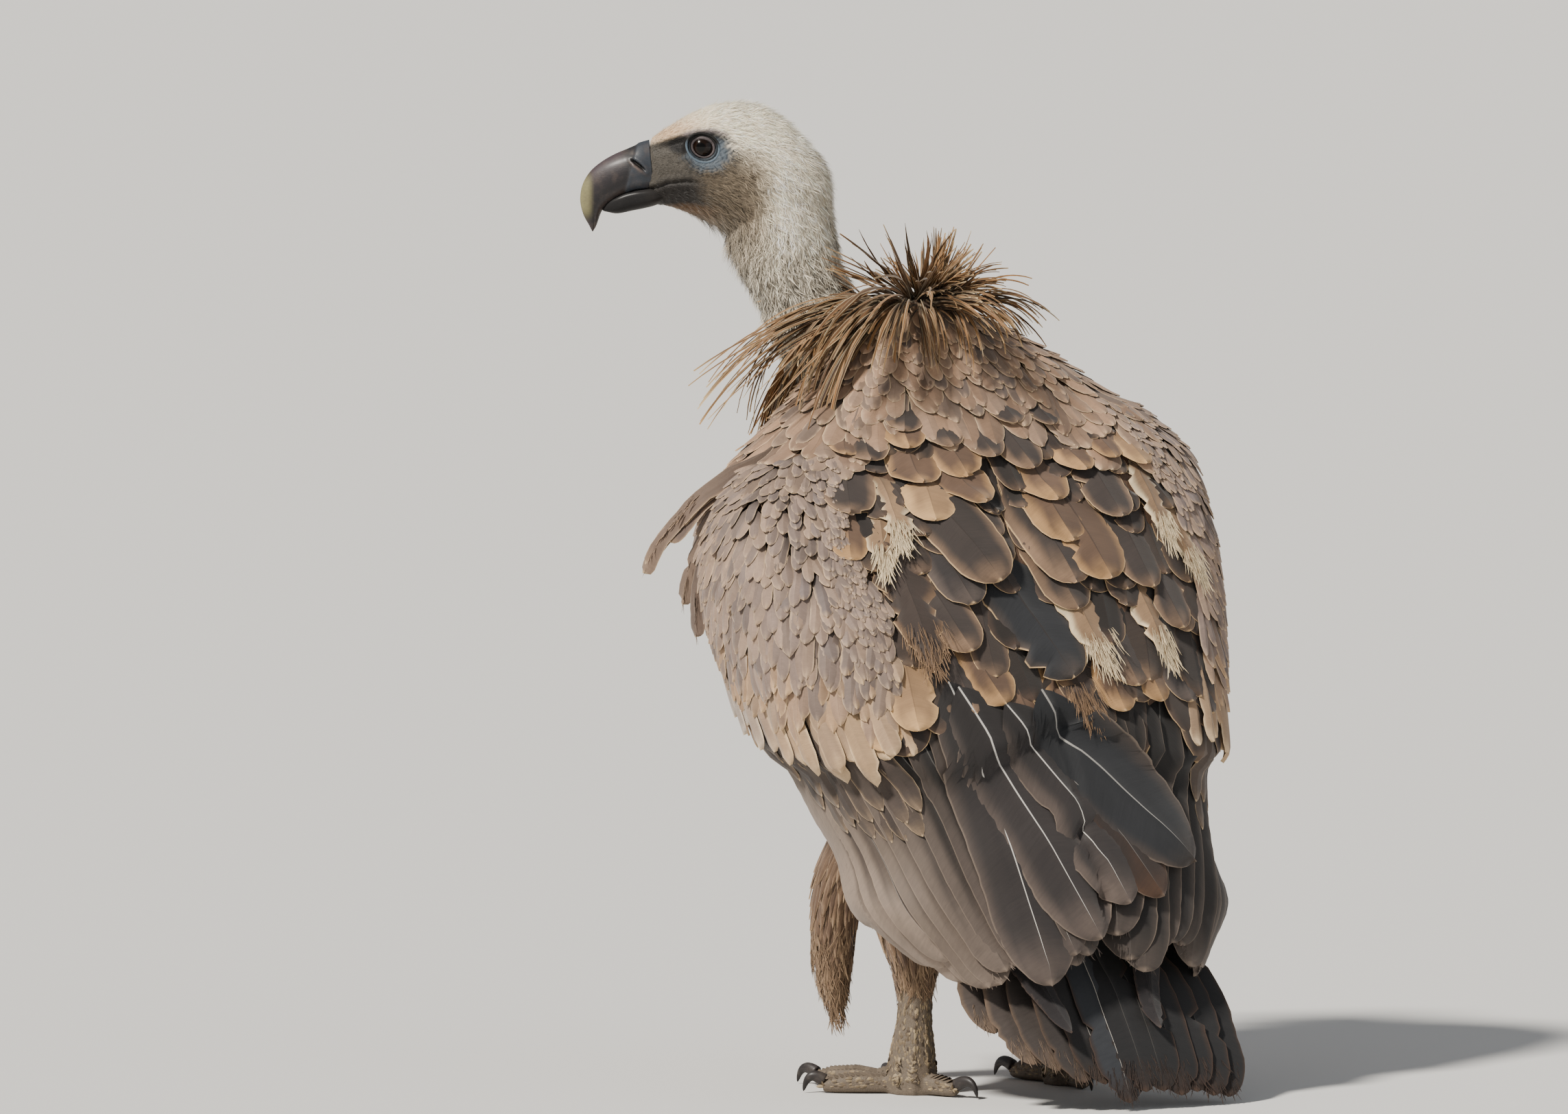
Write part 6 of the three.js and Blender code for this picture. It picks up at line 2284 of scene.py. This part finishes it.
    def _under_coverts(self, plumage: Plumage, s: int) -> None:
        """Lays the dark feathers that show under the hanging coverts.

        Args:
            plumage: The piece that they go into.
            s: 1 for the left, -1 for the right.
        """
        count, rng = 16, self.rng
        under = np.linspace(0, 1, count)
        tips = stack(s * mix(95, 56, under), np.interp(under, [0, 0.3, 0.6, 1], [232, 204, 194, 202]))
        tips[:, 1] += rng.normal(0, 5, count) + 14 * (np.arange(count) % 2)
        roots = tips + stack(s * mix(6, 4, under), 92.0)
        cut = Cut(rows=12, halves=(0.1, 0.5, 1.0), tip=2.2, point=1.4, cup=0.1, splits=0.06)
        half = rng.uniform(6.6, 8.6, count)
        hues = palette(rng, count, "3d342f", "53473e"), palette(rng, count, "66574a", "857059")
        self._drawn(plumage, self.wing, roots, tips, half, cut, hues, (-8.0, 0.2), 0.4, roll=0.08 * s)

    def _loose(self, plumage: Plumage, cut: Cut) -> None:
        """Lays the few coverts that have come loose and stand out from the shoulder.

        Args:
            plumage: The piece that they go into.
            cut: Their shape.
        """
        # turn and height of the root, turn and height of the tip, how far it stands out, half the width
        rows = np.array([
            (79, 486, 102, 386, 38, 5.6), (81, 478, 100, 397, 31, 6), (84, 470, 97, 404, 21, 6.4),
            (80, 474, 101, 392, 36, 4.4), (90, 424, 104, 364, 12, 7), (92, 404, 104, 340, 9, 7),
        ])
        roots, tips, stand, half = rows[:, :2], rows[:, 2:4], rows[:, 4], rows[:, 5]
        hues = palette(self.rng, 6, "57473f", "6d5a4c"), palette(self.rng, 6, "7d695b", "9c8168")
        shafts = self._drawn(
            plumage, self.form, roots, tips, half, cut, hues, (-4.0, 1.0), 0.6, stand=stand, roll=0.75,
        )
        worn = Coat(*hues, 0.0, 0.0, 0.0, body_place(*roots.T))
        plumage.fray(shafts, half * 0.7, worn, self.rng, 36, 0.5, (5, 11))

    def scapulars(self, side: Side) -> None:
        """Lays the large rounded feathers of the shoulder, over a near-black layer that fills between them,
        dark partly as painted shade in their gaps.

        Args:
            side: Which shoulder.
        """
        s = side.value
        plumage = Plumage()
        tract = Tract(
            (3 * s, 54 * s) if s > 0 else (-3, -64), level(512.0), level(342.0), (15.0, 30.0), (18.0, 32.0),
            (46, 104), (13.0, 23.0), lambda turn, share: s * mix(2, -12, share),
        )
        # the fill layer's near-black colours are partly dark feathers and partly painted shade in the gaps
        # between the large ones
        mids, rims = ("241f1c", "3b312b", "2d2622"), ("57453a", "77604b")
        self._sow(plumage, tract, BROAD, mids, rims, (-8.0, -1.6), 9, loose=0.8)
        self._set(plumage, self.form, LEFT_SHOULDER if side is Side.LEFT else RIGHT_SHOULDER, BROAD)
        finish = VaneFinish(
            "Scapulars", 0.45, 0.65, 0.5, shaft="2c231e", shaft_width=0.06, shaft_strength=1.0, margin=0.65,
            margin_tint="dcb888",
        )
        made = plumage.build(f"{side.word}_scapular_feathers")
        add_piece(made, finish.make(), [f"{side.word}_scapulars"])

    def flight(self, side: Side) -> None:
        """Lays the secondaries in a close fan, and on the left wing the tertials that cross over the back.

        Args:
            side: Which wing.
        """
        s = side.value
        plumage = Plumage()
        count = 20
        place = np.linspace(0, 1, count)
        rows = Profile([
            (0, 100, 272, 96, 142, 13), (0.35, 88, 280, 82, 108, 14), (0.65, 64, 290, 58, 104, 17),
            (1, 18, 300, 10, 112, 24),
        ])
        root_turn, root_height, tip_turn, tip_height, half = rows(place).T
        roots = stack(s * root_turn, root_height)
        tips = stack(s * tip_turn, tip_height + self.rng.normal(0, 7.5, count))
        inner = smooth(0.45, 0.8, place)[:, None]
        # painted shade: the right wing's flight feathers are coloured 0.72 as bright as the left's, and each
        # also varies at random
        shade = (1.0 if s > 0 else 0.72) * self.rng.normal(1, 0.1, (count, 1))
        mid, rim = ramp("423832", "2a2624", inner) * shade, ramp("88786b", "574c45", inner) * shade
        lift = mix(-7, -9, place), mix(-1, 0.5, place) + 2.4 * (np.arange(count) % 2)
        # on the left wing the rim's colour takes more of the outer vane, leaving the inner vane darker,
        # partly as painted shade under the next feather's edge
        shafts = self._drawn(
            plumage, self.wing, roots, tips, half, LONG, (mid, rim), lift, 0.25, 0.5 * (s > 0), roll=0.3 * s,
        )
        pale = Coat(mid, rim * 1.3, 0.0, 0.0, 0.0, body_place(*roots.T))
        plumage.fray(shafts, half, pale, self.rng, 20, 0.94, (3, 8))
        if side is Side.LEFT:
            self._set(plumage, self.wing, TERTIALS, LONG, 20)
        finish = VaneFinish(
            "Flight feathers", 0.5, 0.6, 0.55, 0.85, shaft="d9d4cc", shaft_width=0.03, shaft_strength=0.85,
            margin=0.28, margin_tint="a08d7b",
        )
        made = plumage.build(f"{side.word}_secondaries")
        add_piece(made, finish.make(), [f"{side.word}_flight_feathers"])


@dataclass
class TailAndPrimaries:
    """The tail, the tips of the primaries beside it, and the coverts over and under its root."""

    rng: Random
    feathers: int = 12
    line: Profile = field(default_factory=lambda: Profile([
        (0, 194, 95, 16, -11, 0.1), (20, 186, 97, 20, -11, 0.1), (45, 173, 100, 24, -10, 0.1),
        (72, 155, 103, 27, -9, 0.1), (88, 144, 100, 30, -9, 0.08), (106, 127, 82, 33, -8, 0.03),
        (170, 108, 72, 34, -4, 0), (232, 92, 50, 26, 0, 0),
    ]))
    blade: Profile = field(default_factory=lambda: Profile([
        (0, 66, 106, 205, 26), (1, 60, 123, 150, 27), (2, 50, 141, 105, 22), (3, 42, 162, 76, 12),
        (4, 38, 180, 58, 4),
    ]))

    def _on_tail(self, reach: Array, z: Array, out: Array) -> Array:
        """Points of the tail's fan at a reach from its middle (1 is the left edge) and a height."""
        y, half, bow, shift, turn = np.moveaxis(self.line(z), -1, 0)
        return stack(shift + half * reach, y - bow * reach**2 - turn * half * reach + out, z)

    def _fan(
        self, plumage: Plumage, reach: Array, ends: tuple[Array, Array], half: float, out: Array | float,
        cut: Cut, hues: tuple[Array, Array], quill: Array | float,
    ) -> None:
        """Lays feathers down the fan, with worn tips.

        Args:
            plumage: The piece that they go into.
            reach: Each one's place across the fan.
            ends: The heights of the roots and of the tips.
            half: Half the width of each.
            out: How far each lies behind the fan.
            cut: Their shape.
            hues: The colours of middle and edge.
            quill: How far the shafts show.
        """
        count = len(reach)
        z = mix(ends[0][:, None], ends[1][:, None], np.linspace(0, 1, 20)[None])
        points = self._on_tail(reach[:, None], z, np.broadcast_to(out, count)[:, None])
        shafts = Shafts.along(points, np.array([0.0, 1.0, 0.3]))
        place = stack(0.5 + 0.45 * reach, np.clip(ends[0] / 300, 0.01, 0.99))
        coat = Coat(*hues, -0.5, 0.5, 0.03 * np.sign(reach), place, quill)
        halves = np.full(count, half)
        plumage.lay(shafts, shafts.lengths(), halves, cut, coat, self.rng)
        plumage.fray(shafts, halves * 0.9, coat, self.rng, 44, 0.88, (4, 13))

    def build(self) -> None:
        """Makes the tail and the two sets of primaries."""
        n = self.feathers
        plumage = Plumage()
        reach = np.linspace(-0.86, 0.86, n)
        tip = 56 * np.maximum(0, reach) ** 2.2 - 5 * np.maximum(0, -reach) + 9 + self.rng.uniform(-3, 9, n)
        cut = Cut(
            rows=36, halves=(0.03, 0.25, 0.5, 0.75, 1.0), stem=0.6, tip=1.5, point=1.7, cup=0.05, ridge=0.6,
            splits=0.06, ragged=0.03, gather=1.2, ripple=0.14,
        )
        lit = smooth(0.1, 0.8, reach)[:, None]
        mid = ramp("1a191a", "4d443f", lit) * self.rng.normal(1, 0.08, (n, 1))
        mid[n // 2] = tint("2c2e32")
        rim = ramp("33251d", "746150", lit) * self.rng.normal(1, 0.1, (n, 1))
        quill = np.where(np.abs(np.arange(n) - n / 2 - 0.5) < 1, 1.0, 0.12)
        out = -0.5 - 4.0 * np.abs(reach) ** 1.2
        self._fan(plumage, reach, (np.full(n, 226.0), tip), 20.5, out, cut, (mid, rim), quill)
        m = 10
        soft = Cut(rows=m, halves=(0.1, 0.5, 1.0), tip=1.4, ragged=0.06)
        for row, (top, low, size) in enumerate(((222, 150, 15), (228, 172, 13))):
            at = np.linspace(-0.8, 0.8, m) + self.rng.normal(0, 0.03, m)
            hues = palette(self.rng, m, "241f1d", "383029"), palette(self.rng, m, "40342c", "5e4a3b")
            for out in (2.5 + row, -6.5 - row):
                ends = np.full(m, float(top)), low + self.rng.normal(0, 6, m)
                self._fan(plumage, at, ends, size, out, soft, hues, 0.2)
        finish = VaneFinish(
            "Tail feathers", 0.5, 0.5, 0.3, 0.8, shaft="cfc6ba", shaft_width=0.03, shaft_strength=0.7,
            margin=0.2, margin_tint="6d513d",
        ).make()
        add_piece(plumage.build("tail_feathers"), finish, ["tail"])
        for side in Side:
            self._primaries(side, finish)

    def _primaries(self, side: Side, finish: Material) -> None:
        """Lays the narrow dark blade of folded primaries beside the tail.

        Args:
            side: Which wing.
            finish: Their material.
        """
        count = 6
        k = np.linspace(0, 1, count)
        steps = np.linspace(0, 1, 16)
        x, y, z, half = np.moveaxis(self.blade(steps[None] * mix(3.0, 3.95, k)[:, None]), -1, 0)
        off = half * mix(0.5, -0.3, k)[:, None] * (1 - steps)
        points = stack(side.value * (x + off), y + 0.6 * k[:, None] - 3, z)
        shafts = Shafts.along(points, np.array([0.0, 1.0, 0.3]))
        coat = Coat(
            palette(self.rng, count, "1b1819", "262122"), palette(self.rng, count, "2f2826", "3d3430"),
            -1.0, 0.6, 0.02, stack(0.1 + 0.8 * k, 0.5), 0.05,
        )
        cut = Cut(
            rows=26, halves=(0.05, 0.4, 1.0), stem=0.9, tip=3.0, point=1.3, cup=0.15, ridge=0.4, skew=0.3,
        )
        plumage = Plumage()
        plumage.lay(shafts, shafts.lengths(), mix(13, 11, k), cut, coat, self.rng)
        made = plumage.build(f"{side.word}_primary_feathers")
        add_piece(made, finish, [f"{side.word}_primaries"])


@dataclass
class Ruff:
    """The collar of long, narrow, stringy feathers that spring from the shoulders behind the neck."""

    rng: Random
    count: int = 1100
    tufts: int = 150
    centre: tuple[float, float] = (-1, -151)
    reach: tuple[float, float] = (64, 58)
    hub: tuple[float, float] = (-4, -118)  # where the feathers part to all sides
    high: float = 592
    low: float = 530
    longest: float = math.radians(12)  # the turn of the longest, from the bird's left towards its back

    def build(self) -> None:
        """Makes the ruff."""
        rng, n = self.rng, self.count
        tuft = rng.integers(0, self.tufts, n)
        turn = (np.arange(self.tufts) + rng.uniform(0, 1, self.tufts))[tuft] * 2 * np.pi / self.tufts
        turn = turn + rng.normal(0, 0.035, n)
        depth = rng.uniform(0.06, 1.0, self.tufts)[tuft] + rng.normal(0, 0.03, n)
        behind = smooth(-0.8, -0.15, np.sin(turn))
        at_neck = mix(0.8, 1.0, depth)
        round_turn = stack(np.cos(turn), np.sin(turn))
        ring = np.array(self.centre) + np.array(self.reach) * at_neck[:, None] * round_turn
        wide = stack(44, np.where(np.sin(turn) < 0, 46, 30))
        level_place = mix(ring, np.array(self.hub) + wide * depth[:, None] * round_turn, behind[:, None])
        height = mix(self.low, self.high, smooth(-1.0, -0.35, np.sin(turn)))
        height = height + mix(-8, -10, depth) + rng.normal(0, 2, n)
        root = stack(*level_place.T, height)
        leftward = bump(np.angle(np.exp(1j * (turn - self.longest))), 1.15)
        flow = rng.normal(0, 8, (self.tufts, 2))[tuft] * (1 - 0.7 * leftward)[:, None]
        flow = flow + root[:, :2] - np.array(self.hub)
        out = unit(stack(*flow.T, 0.0))
        around = stack(-out[:, 1], out[:, 0], 0.0)
        rightward = bump(np.angle(np.exp(1j * (turn - 2.5))), 0.8)
        length = (68 + 76 * leftward + 18 * rightward) * rng.uniform(0.62, 1.15, self.tufts)[tuft]
        short = (rng.random(self.tufts) < 0.22)[tuft]
        upright = (rng.random(self.tufts) < 0.3)[tuft] * (1 - leftward)
        upright = np.maximum(upright, smooth(0.42, 0.26, depth)) * behind
        length = length * rng.uniform(0.7, 1.05, n) * (1.06 - 0.34 * upright) * np.where(short, 0.5, 1.0)
        raised = mix(26.0, 64.0, upright) - 44 * leftward - 38 * (1 - behind) + np.where(short, 18.0, 0.0)
        raised = raised + rng.normal(0, 15, self.tufts)[tuft] + rng.normal(0, 5, n)
        fall = mix(72.0, 12.0, upright) + rng.normal(0, 22, self.tufts)[tuft]
        twist = rng.normal(0, 24, self.tufts)[tuft] + rng.normal(0, 6, n) - 22 * leftward
        steps = np.linspace(0, 1, 12)
        rise = np.radians(raised[:, None] - fall[:, None] * steps**0.8)
        swing = np.radians(twist[:, None] * steps)
        level = out[:, None] * np.cos(swing)[..., None] + around[:, None] * np.sin(swing)[..., None]
        ahead = level * np.cos(rise)[..., None] + UP * np.sin(rise)[..., None]
        stride = (length / 11)[:, None, None]
        path = root[:, None] + np.concatenate([np.zeros((n, 1, 3)), np.cumsum(ahead[:, :-1] * stride, 1)], 1)
        facing = level * -np.sin(rise)[..., None] + UP * np.cos(rise)[..., None]
        shafts = Shafts.along(path, facing)
        mid = palette(rng, n, "382316", "6c4a2b", "8c633b", spread=0.16)
        rim = palette(rng, n, "946d44", "be9d6d", "dcc69d", spread=0.1)
        place = stack(0.01 + 0.98 * np.mod(turn / 6.2832, 1), np.clip((height - 480) / 140, 0.01, 0.99))
        coat = Coat(mid, rim, 0.0, 0.0, rng.normal(0, 0.3, n), place, rng.uniform(0.2, 1, n))
        cut = Cut(
            rows=12, halves=(0.3, 1.0), stem=0.45, swell=0.35, tip=26.0, point=1.35, cup=0.4, sweep=3.0,
            ragged=0.2, splits=0.15, ripple=0.0, ridge=0.25, gather=1.0,
        )
        plumage = Plumage()
        plumage.lay(shafts, length, rng.uniform(0.9, 2.6, n), cut, coat, rng)
        finish = VaneFinish(
            "Ruff feathers", 0.6, 0.5, 0.5, 0.75, shaft="e8d6ae", shaft_width=0.3, shaft_strength=0.55,
            margin=0.1, root_shade=0.7,
        )
        add_piece(plumage.build("ruff_feathers"), finish.make(), ["ruff"])


# ---- studio
@dataclass
class Studio:
    """A pale floor, soft lights and the camera behind the bird's left shoulder."""

    azimuth: float = 150.0
    elevation: float = 3.0
    distance: float = 8000.0
    aim: tuple[float, float, float] = (134.0, -78.0, 397.0)
    lens: float = 247.0

    def build(self) -> None:
        """Makes the floor, the lights and the camera."""
        self._floor()
        self._sky()
        key = bpy.data.lights.new("key", "SUN")
        key.energy, key.angle, key.color = 5.6, math.radians(7), (1.0, 0.95, 0.87)
        in_scene("key", key).rotation_euler = self._facing(self._place(0, 0, 0) - self._place(101, 47, 1.0))
        fill = bpy.data.lights.new("fill", "AREA")
        fill.energy, fill.size, fill.color = 12.0, 2.6, (0.9, 0.95, 1.0)
        self._aimed("fill", fill, self._place(205, 16, 3.4))
        data = bpy.data.cameras.new("camera")
        data.lens, data.sensor_width, data.clip_end = self.lens, 36.0, 2000.0
        camera = self._aimed("camera", data, self._place(self.azimuth, self.elevation, self.distance * MM))
        bpy.context.scene.camera = camera

    def _floor(self) -> None:
        """Makes the wide pale floor."""
        bpy.ops.mesh.primitive_plane_add(size=1200.0)
        floor = bpy.context.object
        floor.name = "floor"
        made, g, shader = new_material("Pale floor")
        g.fill(shader, {"Base Color": (0.72, 0.71, 0.69, 1), "Roughness": 0.9, "Specular IOR Level": 0.0})
        floor.data.materials.append(made)

    def _sky(self) -> None:
        """Makes the soft light from all round, and a backdrop as bright as the floor for the camera."""
        world = bpy.data.worlds.new("Studio")
        world.use_nodes = True
        world.node_tree.nodes.clear()
        g = Graph(world.node_tree)
        soft = g.node("ShaderNodeBackground", {0: (0.80, 0.83, 0.87, 1), 1: 0.36})
        seen = g.node("ShaderNodeBackground", {0: (1.0, 0.953, 0.872, 1), 1: 1.146})
        to_camera = g.node("ShaderNodeLightPath").outputs["Is Camera Ray"]
        pick = g.node("ShaderNodeMixShader", {0: to_camera, 1: soft.outputs[0], 2: seen.outputs[0]})
        g.node("ShaderNodeOutputWorld", {0: pick.outputs[0]})
        bpy.context.scene.world = world

    def _place(self, azimuth: float, elevation: float, distance: float) -> Vector:
        """A point round the bird, in metres."""
        a, e = math.radians(azimuth), math.radians(elevation)
        back = Vector((math.sin(a) * math.cos(e), -math.cos(a) * math.cos(e), math.sin(e)))
        return Vector((np.array(self.aim) + ORIGIN) * MM) + back * distance

    @staticmethod
    def _facing(way: Vector) -> Euler:
        """The turn of a light or camera that looks that way."""
        return way.to_track_quat("-Z", "Y").to_euler()

    def _aimed(self, name: str, data: bpy.types.ID, place: Vector) -> Object:
        """A light or camera at a place, looking at the bird."""
        made = in_scene(name, data)
        made.location = place
        made.rotation_euler = self._facing(self._place(0, 0, 0) - made.location)
        return made


def main() -> None:
    """Builds the bird, its coat and the studio."""
    logging.basicConfig(level=logging.INFO, format="%(name)s: %(message)s")
    wings = [f"{side.word}_{word}" for side in Side for word in ("coverts", "scapulars", "flight_feathers")]
    form = Contour(["trunk", *wings], 5)
    trunk_form = Contour(["trunk"], 3)
    head = HeadAndNeck()
    legs = Legs()
    Skin(form, trunk_form, head, legs).build()
    sprigs = SprigTree()
    crown, neck = Sown(), Sown()
    rng = np.random.default_rng(SEED)
    head.down(crown, 30000, -64, 200, rng)
    head.down(neck, 15000, -170, -60, rng)
    finish = VaneFinish("Down", 0.2, 0.2, 0, 0, shaft_strength=0, margin=0, root_shade=0.22, sheen=0.3)
    down = finish.make()
    for name, sown in (("head_down", crown), ("neck_down", neck)):
        add_piece(sprigs.grow(name, sown, Sprig(), down, rng), None)
    Eyes().build()
    Bill().build()
    legs.claws()
    legs.plates(sprigs, rng)
    legs.feathers(rng)
    coat = BodyCoat(form, rng)
    coat.mantle()
    coat.breast()
    for side in Side:
        coat.coverts(side)
        coat.scapulars(side)
        coat.flight(side)
    TailAndPrimaries(rng).build()
    Ruff(rng).build()
    Studio().build()


if __name__ == "__main__":
    main()
